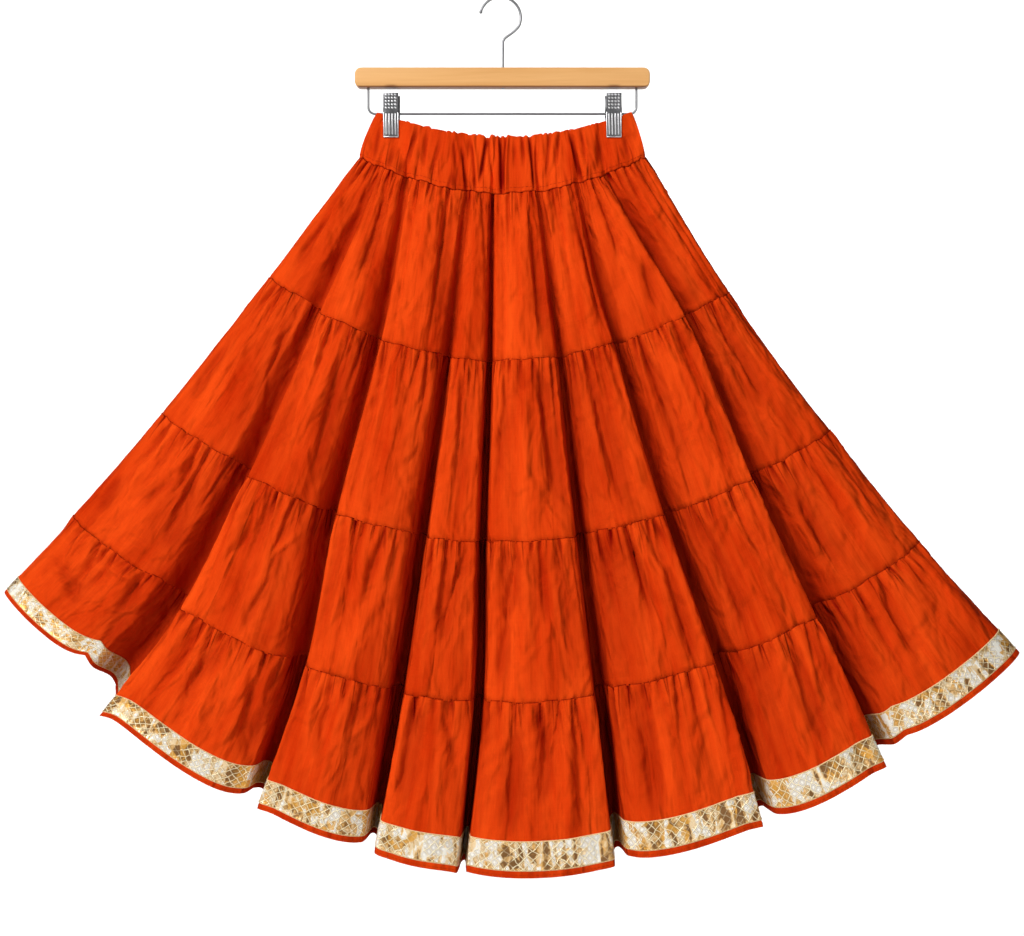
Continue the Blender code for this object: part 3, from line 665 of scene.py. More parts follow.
def make_tier(piece, finish):
    """A gathered tier: its mesh, wall and flat size."""
    row = cloth_row(piece)
    level = int(piece[-1])
    lobes, shares = even_columns(level + 0.55, row["columns"])
    downs = np.linspace(0.0, 1.0, row["rows"]) ** 1.35
    if piece == "tier_4":
        hem = HEM_BELOW_BAND / TIER_4_DROP
        hem_rows = [1.0 - hem, 1.0 - hem * 0.8, 1.0 - 0.004, 1.0]
        downs = np.sort(np.concatenate([downs[downs < 0.95], hem_rows]))
    points, shade = tier_points(piece, downs, lobes, shares)
    if piece == "tier_4":
        points[-1] += (points[-3] - points[-2]) * 0.02
    else:
        points[-1, :, 2] -= 0.6
    if level > 1:
        points[0, :, 2] += 1.2
    lengths = np.linalg.norm(np.diff(points, axis=0), axis=2).mean(axis=1)
    u = round_u(points[len(points) // 2])
    v = np.append(0.0, -np.cumsum(lengths)) * MM
    made = grid_sheet(f"{piece}_cloth", points[::-1], u, v[::-1], shade[::-1], finish)
    thicken(made, row["wall"])
    keep(made, "orange_cotton", piece)
    _, cut = arc_share(points[-1])
    return made, (round(cut * MM, 2), round(float(lengths.sum()) * MM, 3))


def keep(made, slot, *nodes):
    """Rides on the part's one body and stands for its CAD nodes; its slot is not used."""
    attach(made, "root")
    if nodes:
        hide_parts(*nodes)
    return made


def ruche_relief(here, at):
    """The casing's listed folds at a share of its height, on both sides."""
    relief = np.zeros(len(here))
    for number, (x_top, x_seam, width, depth, first, last) in enumerate(RUCHES):
        shift = 9.0 * (uneven(number, 6.0) - 0.5)
        x = np.where(here[:, 1] < 0, here[:, 0], -here[:, 0] + shift)
        bow = 3.0 * (uneven(number, 3.0) - 0.5) * math.sin(math.pi * at)
        off = (x - (x_top + (x_seam - x_top) * at) - bow) / width
        off = off * np.where(off * (number % 2 - 0.5) > 0, 1.7, 0.8)
        inside = min(max((at - first) / 0.22, 0.0), 1.0) * min(max((last - at) / 0.3, 0.0), 1.0)
        fold = np.exp(-(off**2)) - 0.35 * np.exp(-(((off - 2.1) / 1.3) ** 2))
        relief -= 1.5 * depth * inside * fold
    return relief


def make_waistband(finish, thread):
    """The elastic casing: ruched outside and inside, folded over at its top edge."""
    lobes, shares = even_columns(0.5, 760)
    middle = skirt_ring(0.6, lobes, shares)
    share, _ = arc_share(middle)

    def plain(at):
        return skirt_ring(at, lobes, shares)

    levels = np.linspace(0.0, 1.0, 24) ** 0.9
    fine = pleats(wander(share, 66, 7.0), 7.0, 0.9)
    patch = np.clip(0.4 + soft_noise(share * 900.0, 0.0, 4.0, 1.0), 0.0, 1.0)
    outer, inner, shades = [], [], []
    for at in levels:
        here, normal = surface_normals(at, plain)
        near_clip = np.clip((np.abs(np.abs(here[:, 0]) - CLIP_X) - 9.0) / 22.0, 0.0, 1.0)
        ruched = ruche_relief(here, at)
        puffed = patch * math.sin(math.pi * min(at + 0.15, 1.0)) * near_clip
        waves = ruched * (0.35 + 0.65 * near_clip) + 1.6
        waves = waves + 0.7 * fine * math.exp(-at / 0.3) + 1.3 * (fine - 0.4) * puffed
        waves = waves + 0.6 * soft_noise(share * 900.0, at * 75.0, 3.0, 2.0)
        waves = (waves - 1.0) * np.clip((1.04 - at) / 0.1, 0.2, 1.0)
        waves = waves - 2.4 * np.clip(1.0 - 1.6 * np.abs(normal[:, 1]), 0.0, 1.0)
        row = here + normal * waves[:, None]
        scallop = 2.4 * fine - 1.1 + 0.6 * ruched
        row[:, 2] += scallop * math.exp(-at / 0.1) * near_clip
        outer.append(pinch_at_clips(row.copy(), at))
        # Painted shade in the ruches' folds.
        shades.append(np.clip(-ruched / 4.2, 0, 1))
        inside = here + normal * (waves * 0.7 - 2.3)[:, None]
        inside[:, 2] = row[:, 2] - 1.2 * math.exp(-at / 0.03)
        pinched = pinch_at_clips(inside, at)
        depth = outer[-1][:, 1]
        pinched[:, 1] = np.sign(depth) * np.minimum(np.abs(pinched[:, 1]), np.abs(depth) - 1.6)
        inner.append(pinched)
    outer, inner = np.array(outer), np.array(inner)
    rim = []
    for turn in (0.25, 0.5, 0.75):
        row = outer[0] + (inner[0] - outer[0]) * (1 - math.cos(math.pi * turn)) / 2
        row[:, 2] += 1.1 * math.sin(math.pi * turn)
        rim.append(row)
    outer[-1, :, 2] -= 0.4
    loops = np.concatenate([outer[::-1], rim, inner])
    heights = np.linalg.norm(np.diff(loops, axis=0), axis=2).mean(axis=1)
    v = np.concatenate([[0.0], np.cumsum(heights), [np.sum(heights) + 2.0]]) * MM
    shades = np.array(shades)
    # No painted shade on the rim, and an even painted shade inside the casing.
    shade = np.concatenate([shades[::-1], np.zeros_like(shades[:3]), np.full_like(shades, 0.3)])
    made = grid_sheet("waistband_casing", loops, round_u(middle), v, shade, finish, close_rows=True)
    keep(made, "orange_casing", "waistband")
    stitch_run("casing_stitches", outer[-3], outer[-2], thread, "orange_casing")
    return made


def make_gold_band(finish, thread, gold_thread):
    """The foil ribbon over tier 4's lower part, with a raised selvage along each edge, and the
    rows of stitches on it and on the hem: the ribbon and its length."""
    lobes, shares = even_columns(4.55, 1300)
    hem = HEM_BELOW_BAND / TIER_4_DROP
    wide = GOLD_BAND_WIDTH / TIER_4_DROP
    across = np.array([0.0, 0.03, 0.06, 0.1, 0.3, 0.5, 0.7, 0.9, 0.94, 0.97, 1.0])
    raised = np.array([0.35, 0.95, 0.95, 0.55, 0.6, 0.6, 0.6, 0.55, 0.95, 0.95, 0.35])
    downs = 1.0 - hem - wide * (1.0 - across)
    points, shade = tier_points("tier_4", downs, lobes, shares)
    share, around = arc_share(points[5])
    rows = []
    for index, row in enumerate(points):
        normal = outward(row, points[max(index - 1, 0)] - points[min(index + 1, len(points) - 1)])
        buckle = 0.35 * (1 + soft_noise(share * 5200.0, across[index] * 35.0, 8.0, 1.0))
        inside = math.sin(math.pi * across[index])
        rows.append(row + normal * (raised[index] + buckle * inside)[:, None])
    rows = np.array(rows)
    u, v = round_u(points[5]), -across * GOLD_BAND_WIDTH * MM
    made = grid_sheet("gold_ribbon_band", rows[::-1], u, v[::-1], shade[::-1], finish)
    thicken(made, 0.3)
    keep(made, "gold_ribbon", "gold_band")
    stitch_run("band_top_stitches", rows[1], rows[3], gold_thread, "gold_ribbon")
    stitch_run("band_foot_stitches", rows[-2], rows[-1], gold_thread, "gold_ribbon")
    edge, _ = tier_points("tier_4", [1.0 - hem * 0.45, 1.0 - hem * 0.3], lobes, shares)
    stitch_run("hem_stitches", edge[0], edge[1], thread, "orange_cotton")
    return made, around * MM


# ---------------------------------------------------------------- shader maths
class Value:
    """A socket with a number in it, so that sums are written as sums."""

    def __init__(self, shop, socket):
        self.shop = shop
        self.socket = socket

    def join(self, operation, first, second):
        node = self.shop.node("ShaderNodeMath", {"operation": operation}, {0: first, 1: second})
        return Value(self.shop, node.outputs[0])

    def __add__(self, other):
        return self.join("ADD", self, other)

    def __radd__(self, other):
        return self.join("ADD", other, self)

    def __sub__(self, other):
        return self.join("SUBTRACT", self, other)

    def __rsub__(self, other):
        return self.join("SUBTRACT", other, self)

    def __mul__(self, other):
        return self.join("MULTIPLY", self, other)

    def __rmul__(self, other):
        return self.join("MULTIPLY", other, self)

    def __truediv__(self, other):
        return self.join("DIVIDE", self, other)

    def larger(self, other):
        return self.join("MAXIMUM", self, other)

    def unit(self):
        node = self.shop.node("ShaderNodeClamp", {}, {"Value": self})
        return Value(self.shop, node.outputs[0])

    def size(self):
        return self.join("ABSOLUTE", self, 0.0)

    def part(self):
        return self.join("FRACT", self, 0.0)

    def whole(self):
        return self.join("FLOOR", self, 0.0)

    def wave(self):
        return self.join("SINE", self, 0.0)

    def ramp(self, low, high):
        """0 below low, 1 above high, smooth between."""
        node = self.shop.node(
            "ShaderNodeMapRange", {"interpolation_type": "SMOOTHSTEP"},
            {"Value": self, "From Min": low, "From Max": high},
        )
        return Value(self.shop, node.outputs[0])


class Shop:
    """Makes one material: its nodes, its colours and its shader. Cloth has its patterns on its
    flat UV, and the other finishes on the object."""

    def __init__(self, name, roughness=0.5, metallic=0.0, constants=(), source="Object"):
        self.source = source
        self.space = "2D" if source == "UV" else "3D"
        self.material = bpy.data.materials.new(name)
        self.material.use_nodes = True
        self.tree = self.material.node_tree
        self.shader = self.tree.nodes["Principled BSDF"]
        self.shader.inputs["Roughness"].default_value = roughness
        self.shader.inputs["Metallic"].default_value = metallic
        for socket, value in dict(constants).items():
            self.shader.inputs[socket].default_value = value

    def node(self, kind, settings, inputs):
        """One node: its settings first, then the values or links of its sockets."""
        made = self.tree.nodes.new(kind)
        for name, value in settings.items():
            setattr(made, name, value)
        for name, value in inputs.items():
            if isinstance(value, Value):
                value = value.socket
            if isinstance(value, bpy.types.NodeSocket):
                self.tree.links.new(value, made.inputs[name])
            else:
                made.inputs[name].default_value = value
        return made

    def place(self, x=1.0, y=1.0, z=1.0, turn=0.0):
        """Coordinates in metres, scaled along each axis and turned."""
        coordinates = self.node("ShaderNodeTexCoord", {}, {}).outputs[self.source]
        inputs = {"Vector": coordinates, "Scale": (x, y, z), "Rotation": (0.0, 0.0, turn)}
        return self.node("ShaderNodeMapping", {}, inputs).outputs[0]

    def shade(self):
        """The painted shade of a point of the cloth, from 0 to 1, by how deep in a valley it lies.
        """
        made = self.node("ShaderNodeAttribute", {"attribute_name": "shade"}, {})
        return Value(self, made.outputs["Fac"])

    def parts(self, vector):
        made = self.node("ShaderNodeSeparateXYZ", {}, {0: vector})
        return tuple(Value(self, made.outputs[axis]) for axis in range(3))

    def noise(self, place, detail=2.0, roughness=0.5, distortion=0.0, scale=1.0):
        made = self.node(
            "ShaderNodeTexNoise", {"noise_dimensions": self.space},
            {"Vector": place, "Scale": scale, "Detail": detail, "Roughness": roughness,
             "Distortion": distortion},
        )
        return Value(self, made.outputs[0])

    def random(self, first, second):
        """A steady value from 0 to 1 for each pair of whole numbers."""
        pair = self.node("ShaderNodeCombineXYZ", {}, {0: first, 1: second}).outputs[0]
        made = self.node("ShaderNodeTexWhiteNoise", {"noise_dimensions": "2D"}, {"Vector": pair})
        return Value(self, made.outputs["Value"])

    def cells(self, feature, place):
        """Uneven cells, by one of their features."""
        settings = {"feature": feature, "voronoi_dimensions": self.space}
        return self.node("ShaderNodeTexVoronoi", settings, {"Vector": place, "Scale": 1.0})

    def cracks(self, place, width):
        """Straight uneven lines between cells: 0 on a line, 1 away from it."""
        distance = self.cells("DISTANCE_TO_EDGE", place).outputs["Distance"]
        return Value(self, distance).ramp(0.0, width)

    def shards(self, place):
        """A steady value from 0 to 1 for each uneven cell."""
        return self.parts(self.cells("F1", place).outputs["Color"])[0]

    def mix(self, share, *colours):
        """A colour between two, by a share from 0 to 1."""
        first, second = ((*c, 1.0) if isinstance(c, tuple) else c for c in colours)
        made = self.node("ShaderNodeMix", {"data_type": "RGBA"}, {0: share, 6: first, 7: second})
        return made.outputs[2]

    def bump(self, height, strength, distance, below=None):
        inputs = {"Height": height, "Strength": strength, "Distance": distance}
        if below is not None:
            inputs["Normal"] = below
        return self.node("ShaderNodeBump", {}, inputs).outputs[0]

    def done(self, colour, roughness, normal=None, metallic=None):
        """Links what changes over the surface to the shader, and gives the material."""
        sockets = ("Base Color", "Roughness", "Normal", "Metallic")
        for name, value in zip(sockets, (colour, roughness, normal, metallic)):
            if value is not None:
                socket = value.socket if isinstance(value, Value) else value
                self.tree.links.new(socket, self.shader.inputs[name])
        return self.material


def cotton(name, bright, dark, deep):
    """Plain-weave cotton: yarns, slubs, soft waves and pressing creases, with painted shade in its
    valleys, in the tucks below its seam and along the seam that it hangs from."""
    shop = Shop(name, roughness=0.85, constants={"Specular IOR Level": 0.02}, source="UV")
    cloth = shop.place()
    across, down, _ = shop.parts(cloth)
    yarns = TURN / (YARN_PITCH * MM)
    weave = (across * yarns).wave() * (down * yarns).wave()
    slub = shop.noise(shop.place(800.0, 22.0))
    slub_2 = shop.noise(shop.place(22.0, 700.0))
    cloud = shop.noise(shop.place(24.0, 5.0, turn=0.06), 3.0, 0.55, 0.3)
    long = shop.noise(shop.place(62.0, 9.0), distortion=0.2)
    slope = shop.noise(shop.place(30.0, 17.0, turn=0.45), distortion=0.3)
    crease = shop.cracks(shop.place(20.0, 8.0, turn=0.35), 0.2)
    crease_2 = shop.cracks(shop.place(26.0, 12.0, turn=-0.5), 0.16)
    worn = shop.noise(cloth, scale=7.0).ramp(0.42, 0.6)
    tone = 0.5 + (cloud - 0.5) * 1.3 + (long - 0.5) * 0.6
    tone = tone + (slub - 0.5) * 0.3 + (slub_2 - 0.5) * 0.12
    colour = shop.mix(tone.unit(), dark, bright)
    # Painted shade: a thin dark line along the seam's groove, and thin dark tucks just below it.
    seam = 1.0 - down.size().ramp(0.0004, 0.0013)
    tuck = 1.0 - shop.cracks(shop.place(66.0, 6.0), 0.10)
    patch = shop.noise(shop.place(60.0, 3.0), 1.0).ramp(0.38, 0.58)
    tuck = tuck * patch * (1.0 - down.size().ramp(0.004, 0.046))
    # Painted shade: the valleys' shade attribute, the seam line and the tucks darken the colour
    # towards the painted-shade red.
    shade = (shop.shade() * 0.9 + seam * 0.6 + tuck * 0.55).unit()
    colour = shop.mix(shade, colour, deep)
    normal = shop.bump(long * 0.55 + slope * 2.0, 0.75, 0.009)
    pressed = crease * worn + crease_2 * (1.0 - worn) * 0.7 - tuck * 1.5
    normal = shop.bump(pressed, 0.4, 0.002, normal)
    normal = shop.bump(weave * 0.5 + slub * 1.4 + slub_2, 0.2, 0.0003, normal)
    return shop.done(colour, 0.8 + (cloud - 0.5) * 0.12, normal)


def gold_foil(name):
    """Crumpled metallic foil pressed with a diamond lattice, between two pale woven selvages."""
    constants = {"Specular IOR Level": 0.12}
    shop = Shop(name, roughness=0.3, metallic=0.3, constants=constants, source="UV")
    cloth = shop.place()
    across, down, _ = shop.parts(cloth)
    wobble = shop.noise(cloth, scale=70.0) - 0.5
    wobble_2 = shop.noise(shop.place(turn=1.2), scale=64.0) - 0.5
    pitch = FOIL_PITCH * MM
    first = (across + down * 1.05) / pitch + wobble * 0.8
    second = (across - down * 1.05) / pitch + 64.0 + wobble_2 * 0.8
    edge = (first.part() - 0.5).size().larger((second.part() - 0.5).size())
    line = edge.ramp(0.41, 0.46)
    groove = edge.ramp(0.33, 0.36) * (1.0 - edge.ramp(0.39, 0.42))
    ring = edge.ramp(0.17, 0.20) * (1.0 - edge.ramp(0.24, 0.27))
    facet = shop.random(first.whole(), second.whole())
    lattice = shop.noise(shop.place(y=0.5, turn=0.9), scale=40.0).ramp(0.37, 0.46)
    shard = shop.shards(shop.place(130.0, 62.0, turn=0.5))
    shard_2 = shop.shards(shop.place(80.0, 150.0, turn=-0.7))
    sheet = shop.noise(shop.place(62.0, 14.0, turn=0.25), distortion=0.8)
    crumple = shop.noise(cloth, distortion=1.5, scale=150.0)
    # Painted reflections: lattice facets, shards and broad streaks give the foil its dark, gold and
    # pale tones.
    light = facet * lattice * 0.35 + shard * 0.4 + shard_2 * 0.25 + (sheet - 0.5) * 2.1 + 0.1
    colour = shop.mix(light.ramp(0.22, 0.40), (0.24, 0.115, 0.04), (0.78, 0.46, 0.17))
    colour = shop.mix(light.ramp(0.42, 0.56), colour, (1.0, 0.76, 0.45))
    # Painted reflection: amber patches, and amber towards the folds by the painted shade.
    painted_amber = shop.noise(cloth, distortion=1.0, scale=34.0).ramp(0.58, 0.64) * 0.75
    painted_amber = painted_amber.larger(shop.shade().ramp(0.04, 0.25) * 0.8)
    colour = shop.mix(painted_amber, colour, (0.90, 0.44, 0.07))
    # Painted glints: near-white where the painted reflection is brightest, and less metallic there.
    painted_glint = light.ramp(0.68, 0.76)
    colour = shop.mix(painted_glint, colour, (1.0, 0.96, 0.86))
    # Painted shade in the lattice's grooves and inner rings, and painted highlights along its
    # raised lines.
    pressed = (groove * 0.8 + ring * 0.55) * (lattice * 0.8 + 0.2)
    colour = shop.mix(pressed, colour, (0.25, 0.12, 0.045))
    colour = shop.mix(line * (0.25 + lattice * 0.65), colour, (1.0, 0.86, 0.55))
    selvage = (down + GOLD_BAND_WIDTH / 2 * MM).size().ramp(0.0160, 0.0164)
    colour = shop.mix(selvage, colour, (0.96, 0.72, 0.38))
    # Painted shade where the band sinks into the big folds.
    colour = shop.mix(shop.shade().ramp(0.2, 0.9) * 0.68, colour, (0.20, 0.085, 0.015))
    thread = (across * (TURN / 0.0013)).wave() * 0.5 + 0.5
    inner = 1.0 - selvage
    relief = (line * lattice - ring * 0.5 * lattice + facet * 0.6) * inner
    normal = shop.bump(crumple * 0.35 + sheet * 2.0 + shard * 0.5, 0.4, 0.002)
    normal = shop.bump(relief, 0.5, 0.0008, normal)
    normal = shop.bump(thread * selvage, 0.5, 0.0004, normal)
    rough = 0.24 + facet * 0.14 + selvage * 0.3
    return shop.done(colour, rough, normal, 0.3 - selvage * 0.2 - painted_glint * 0.2)


def lacquered_wood(name):
    """Pale lacquered wood with grain along the bar: painted shade under its foot, darker there by
    the clips.
    """
    shop = Shop(name, roughness=0.4, constants={"Specular IOR Level": 0.2})
    grain = shop.noise(shop.place(6.0, 160.0, 160.0), 5.0, 0.6, 0.6)
    rings = shop.noise(shop.place(2.2, 34.0, 34.0), 3.0, 0.5, 1.2)
    pores = shop.noise(shop.place(30.0, 900.0, 900.0))
    tone = (0.5 + (rings - 0.5) * 1.5 + (grain - 0.5) * 0.8).unit()
    colour = shop.mix(tone, (0.70, 0.34, 0.108), (0.88, 0.50, 0.205))
    x, _, z = shop.parts(shop.place())
    near_clip = 1.0 - (x.size() - CLIP_X * MM).size().ramp(0.002, 0.011)
    above_foot = z - BAR_LOW[2] * MM
    low = 1.0 - above_foot.ramp(0.0005, 0.0045)
    # Painted shade: the underside and the lowest two millimetres of the bar turn dark brown.
    under = 1.0 - above_foot.ramp(0.0004, 0.0026)
    colour = shop.mix(under * 0.9, colour, (0.22, 0.075, 0.022))
    # Darker still along the foot near each clip.
    colour = shop.mix(near_clip * low * 0.7, colour, (0.16, 0.05, 0.015))
    normal = shop.bump(grain * 0.6 + pores * 0.4, 0.12, 0.0006)
    return shop.done(colour, 0.36 + (grain - 0.5) * 0.2, normal)


def plated_steel(name, base, roughness, streak):
    """Plated steel: faint drawing lines and a slightly clouded shine."""
    constants = {"Specular Tint": (0.3, 0.3, 0.3, 1.0)}
    shop = Shop(name, roughness=roughness, metallic=1.0, constants=constants)
    cloud = shop.noise(shop.place(), 3.0, scale=180.0)
    lines = shop.noise(shop.place(*streak))
    colour = shop.mix(cloud, tuple(c * 0.82 for c in base), base)
    normal = shop.bump(lines, 0.08, 0.0003)
    return shop.done(colour, roughness + (lines - 0.5) * 0.15, normal)


def sewing_thread(name, dark, bright):
    """Matt twisted thread."""
    shop = Shop(name, roughness=0.8, constants={"Specular IOR Level": 0.05})
    twist = shop.noise(shop.place(), 1.0, scale=900.0)
    return shop.done(shop.mix(twist, dark, bright), 0.7 + (twist - 0.5) * 0.2)


# ---------------------------------------------------------------- hanger pieces
def finished(name, form, finish):
    """A piece from its bmesh, smooth but for its sharp edges."""
    mesh = bpy.data.meshes.new(name)
    form.to_mesh(mesh)
    form.free()
    mesh.materials.append(finish)
    mesh.shade_smooth()
    mesh.set_sharp_from_angle(angle=math.radians(SMOOTH_ANGLE))
    return placed(name, mesh)


def block(form, low, high):
    """Adds a plain block between two corners in millimetres."""
    verts = bmesh.ops.create_cube(form, size=1.0)["verts"]
    bmesh.ops.scale(form, vec=[(b - a) * MM for a, b in zip(low, high)], verts=verts)
    bmesh.ops.translate(form, vec=[(a + b) / 2 * MM for a, b in zip(low, high)], verts=verts)
    return verts


def soften(form, edges, width, segments):
    """Rounds edges by a width in millimetres."""
    bmesh.ops.bevel(
        form, geom=list(edges), offset=width * MM, segments=segments, affect="EDGES",
        profile=0.5, material=-1,
    )


def tube(name, lines, radius, finish, sides=3):
    """Round wire or thread along lines of points in millimetres, as one mesh."""
    curve = bpy.data.curves.new(name, "CURVE")
    curve.dimensions = "3D"
    curve.bevel_depth = radius * MM
    curve.bevel_resolution = sides
    curve.use_fill_caps = True
    for line in lines:
        spline = curve.splines.new("POLY")
        spline.points.add(len(line) - 1)
        flat = np.concatenate([np.array(line) * MM, np.ones((len(line), 1))], axis=1)
        spline.points.foreach_set("co", flat.ravel())
    made = placed(name, curve)
    mesh = bpy.data.meshes.new_from_object(made)
    bpy.data.objects.remove(made)
    mesh.name = name
    mesh.materials.clear()
    mesh.materials.append(finish)
    mesh.shade_smooth()
    return placed(name, mesh)


def ball(name, radius, rings, squash, centre, finish):
    """A round bead in millimetres, squashed in its height."""
    form = bmesh.new()
    bmesh.ops.create_uvsphere(form, u_segments=20, v_segments=rings, radius=radius * MM)
    bmesh.ops.scale(form, vec=(1.0, 1.0, squash), verts=form.verts)
    bmesh.ops.translate(form, vec=[c * MM for c in centre], verts=form.verts)
    keep(finished(name, form, finish), "hook_steel")


def arc(centre, radius, first, last, steps):
    """Points on an arc in the hanger's plane, between two angles in degrees."""
    turns = np.radians(np.linspace(first, last, steps + 1))
    x, z = centre
    return [(x + radius * math.cos(t), 0.0, z + radius * math.sin(t)) for t in turns]


def make_hook(finish):
    """The hook over its rod: a round tip, an arc, a swan neck and the stem into the bar."""
    leaving = -24
    over = arc((-2.5, -24.0), 25.55, 163, leaving, 64)
    turn = math.radians(leaving)
    start, end = np.array(over[-1]), np.array((STEM_X, 0.0, -56.0))
    start_way = np.array((60.0 * math.sin(turn), 0.0, -40.0 * math.cos(turn)))
    end_way = np.array((0.0, 0.0, -26.0))
    neck = [
        tuple(
            start * (2 * t**3 - 3 * t**2 + 1) + start_way * (t**3 - 2 * t**2 + t)
            + end * (3 * t**2 - 2 * t**3) + end_way * (t**3 - t**2)
        )
        for t in np.linspace(0, 1, 28)[1:]
    ]
    stem_foot = (STEM_X, 0.0, BAR_LOW[2] + 1.0)
    made = tube("hook_wire", [[*over, *neck, stem_foot]], 1.55, finish, 5)
    keep(made, "hook_steel", "hanger_hook")
    tip = over[0]
    ball("hook_tip", 2.1, 12, 1.0, (tip[0], 0.0, tip[2] - 0.5), finish)


def make_rail(finish):
    """The wire rail below the bar, with rounded corners."""
    x, z = RAIL_HALF_WIDTH - RAIL_CORNER, RAIL_Z + RAIL_CORNER
    points = [
        (-RAIL_HALF_WIDTH, 0.0, RAIL_TOP_Z),
        *arc((-x, z), RAIL_CORNER, 180, 270, 16),
        *arc((x, z), RAIL_CORNER, 270, 360, 16),
        (RAIL_HALF_WIDTH, 0.0, RAIL_TOP_Z),
    ]
    keep(tube("rail_wire", [points], 1.45, finish, 5), "hook_steel", "clip_rail")


def make_bar(wood, steel):
    """The bar, rounded at its corners and softened on its edges, with the stem's small rivet."""
    form = bmesh.new()
    block(form, BAR_LOW, BAR_HIGH)
    for least, most, width, segments in ((0.01, 1.0, BAR_CORNER, 10), (-1.0, 1e-6, 1.8, 5)):
        depths = {edge: abs(edge.verts[0].co.y - edge.verts[1].co.y) for edge in form.edges}
        chosen = [edge for edge, depth in depths.items() if least < depth < most]
        soften(form, chosen, width, segments)
    bmesh.ops.recalc_face_normals(form, faces=form.faces)
    keep(finished("bar_wood", form, wood), "hanger_wood", "hanger_bar")
    ball("stem_rivet", 2.4, 10, 0.35, (STEM_X, 0.0, BAR_LOW[2]), steel)


def make_jaw(label, side, facing, half_width, finish, bright):
    """One pressed plate of a clip: a knurled grip that leans out, a ribbed jaw with side rims."""
    form = bmesh.new()
    face = JAW_SEAT + JAW_PLATE
    pitch = 2 * half_width / 4.9

    def pressed(x, width, depths, heights, corner, segments=2, slot=1):
        verts = block(form, *zip((x - width, x + width), depths, heights))
        for part in {part for vert in verts for part in vert.link_faces}:
            part.material_index = slot
        soften(form, {edge for vert in verts for edge in vert.link_edges}, corner, segments)

    # Slot 0 takes the painted-shade copy of the steel, slot 1 the painted-highlight copy.
    pressed(0.0, half_width, (JAW_SEAT, face), (JAW_FOOT, JAW_TOP), 0.45, slot=0)
    bmesh.ops.subdivide_edges(
        form, edges=[e for e in form.edges if abs(e.verts[0].co.z - e.verts[1].co.z) > 0.03],
        cuts=9, use_grid_fill=True,
    )
    raised = (JAW_SEAT + 0.4, face + 0.6)
    for rib in range(4):
        heights = (JAW_FOOT + 3.2, RAIL_Z - 0.5)
        pressed((rib - 1.5) * pitch, pitch * 0.27, (JAW_SEAT + 0.6, face + 0.75), heights, 0.5, 3)
    for end in (-1, 1):
        pressed(end * (half_width - 0.5), 0.5, raised, (JAW_FOOT, RAIL_Z + 1.0), 0.35)
    pressed(0.0, half_width, raised, (JAW_FOOT, JAW_FOOT + 1.4), 0.35)
    heights = (RAIL_Z + 1.2, RAIL_Z + 2.4)
    pressed(0.0, half_width - 0.3, (JAW_SEAT + 0.4, face + 0.5), heights, 0.3, slot=0)
    for row in range(5):
        z = RAIL_Z + 6.2 + row * 4.0
        for column in range(4):
            wide = pitch * (0.30 if (row + column) % 2 else 0.34)
            depths = (JAW_SEAT + 0.5, face + 0.85)
            pressed((column - 1.5) * pitch * 1.02, wide, depths, (z - 1.15, z + 1.15), 0.5)
    half_plate = JAW_PLATE / 2
    for end in (-1, 1):
        heights = (RAIL_Z + 0.8, RAIL_Z + 9.0)
        pressed(end * (half_width - half_plate), half_plate, (2.2, face), heights, 0.3, slot=0)

    lean_from = RAIL_Z - 4.0
    for vert in form.verts:
        above = vert.co.z / MM - lean_from
        if above > 0 and vert.co.y > (JAW_SEAT - 0.2) * MM:
            vert.co.y += 3.6 * above / (JAW_TOP - lean_from) * MM
    x = side * CLIP_X * MM
    turned = Matrix(((1, 0, 0, x), (0, facing, 0, 0), (0, 0, 1, 0), (0, 0, 0, 1)))
    bmesh.ops.transform(form, verts=form.verts, matrix=turned)
    if facing < 0:
        bmesh.ops.reverse_faces(form, faces=form.faces)
    node = f"clip_{label}_{'front' if facing < 0 else 'back'}"
    made = finished(f"{node}_plate", form, finish)
    made.data.materials.append(bright)
    keep(made, "clip_steel", node)


def make_spring(label, side, finish):
    """The coil round the rail between a clip's plates."""
    radius, half_length = 2.55, 5.6
    turns = np.linspace(0, 7 * TURN, 7 * 18)
    x = side * CLIP_X + np.linspace(-half_length, half_length, len(turns))
    line = np.stack([x, radius * np.cos(turns), RAIL_Z + radius * np.sin(turns)], axis=1)
    made = tube(f"clip_{label}_coil", [line], 0.75, finish, 2)
    keep(made, "clip_steel", f"clip_{label}_spring")


# ---------------------------------------------------------------- sewing
def stitch_run(name, line, lower, finish, slot):
    """Stitches along a closed line on a cloth's face, each a short thread that dips at its ends."""
    share, around = arc_share(line)
    count = int(around / STITCH_PITCH)
    places = (np.arange(count)[:, None] + np.array([0.0, 0.35, 0.7])) / count
    knots = np.append(share, 1.0)

    def at_places(values):
        closed = np.vstack([values, values[:1]])
        return np.stack([np.interp(places, knots, column) for column in closed.T], axis=2)

    rise = np.array([0.0, 0.3, 0.0])[None, :, None]
    threads = at_places(line) + at_places(outward(line, line - lower)) * rise
    keep(tube(name, list(threads), 0.25, finish, 0), slot)


# ---------------------------------------------------------------- the setting
def area_light(name, place, target, size, power):
    """A round soft light in watts, at a place and turned to a target in metres."""
    data = bpy.data.lights.new(name, "AREA")
    data.shape = "DISK"
    data.size = size
    data.energy = power
    made = placed(name, data)
    made.location = place
    made.rotation_euler = (Vector(target) - Vector(place)).to_track_quat("-Z", "Y").to_euler()


def make_camera():
    """The camera, level with the skirt's middle, and the view's plain colours."""
    data = bpy.data.cameras.new("camera")
    data.sensor_width = 36.0
    data.lens = 56.25
    camera = placed("camera", data)
    camera.location = (0.012, -2.0, -0.587)
    camera.rotation_euler = (math.radians(90), 0.0, 0.0)
    bpy.context.scene.camera = camera
    bpy.context.scene.view_settings.view_transform = "Standard"


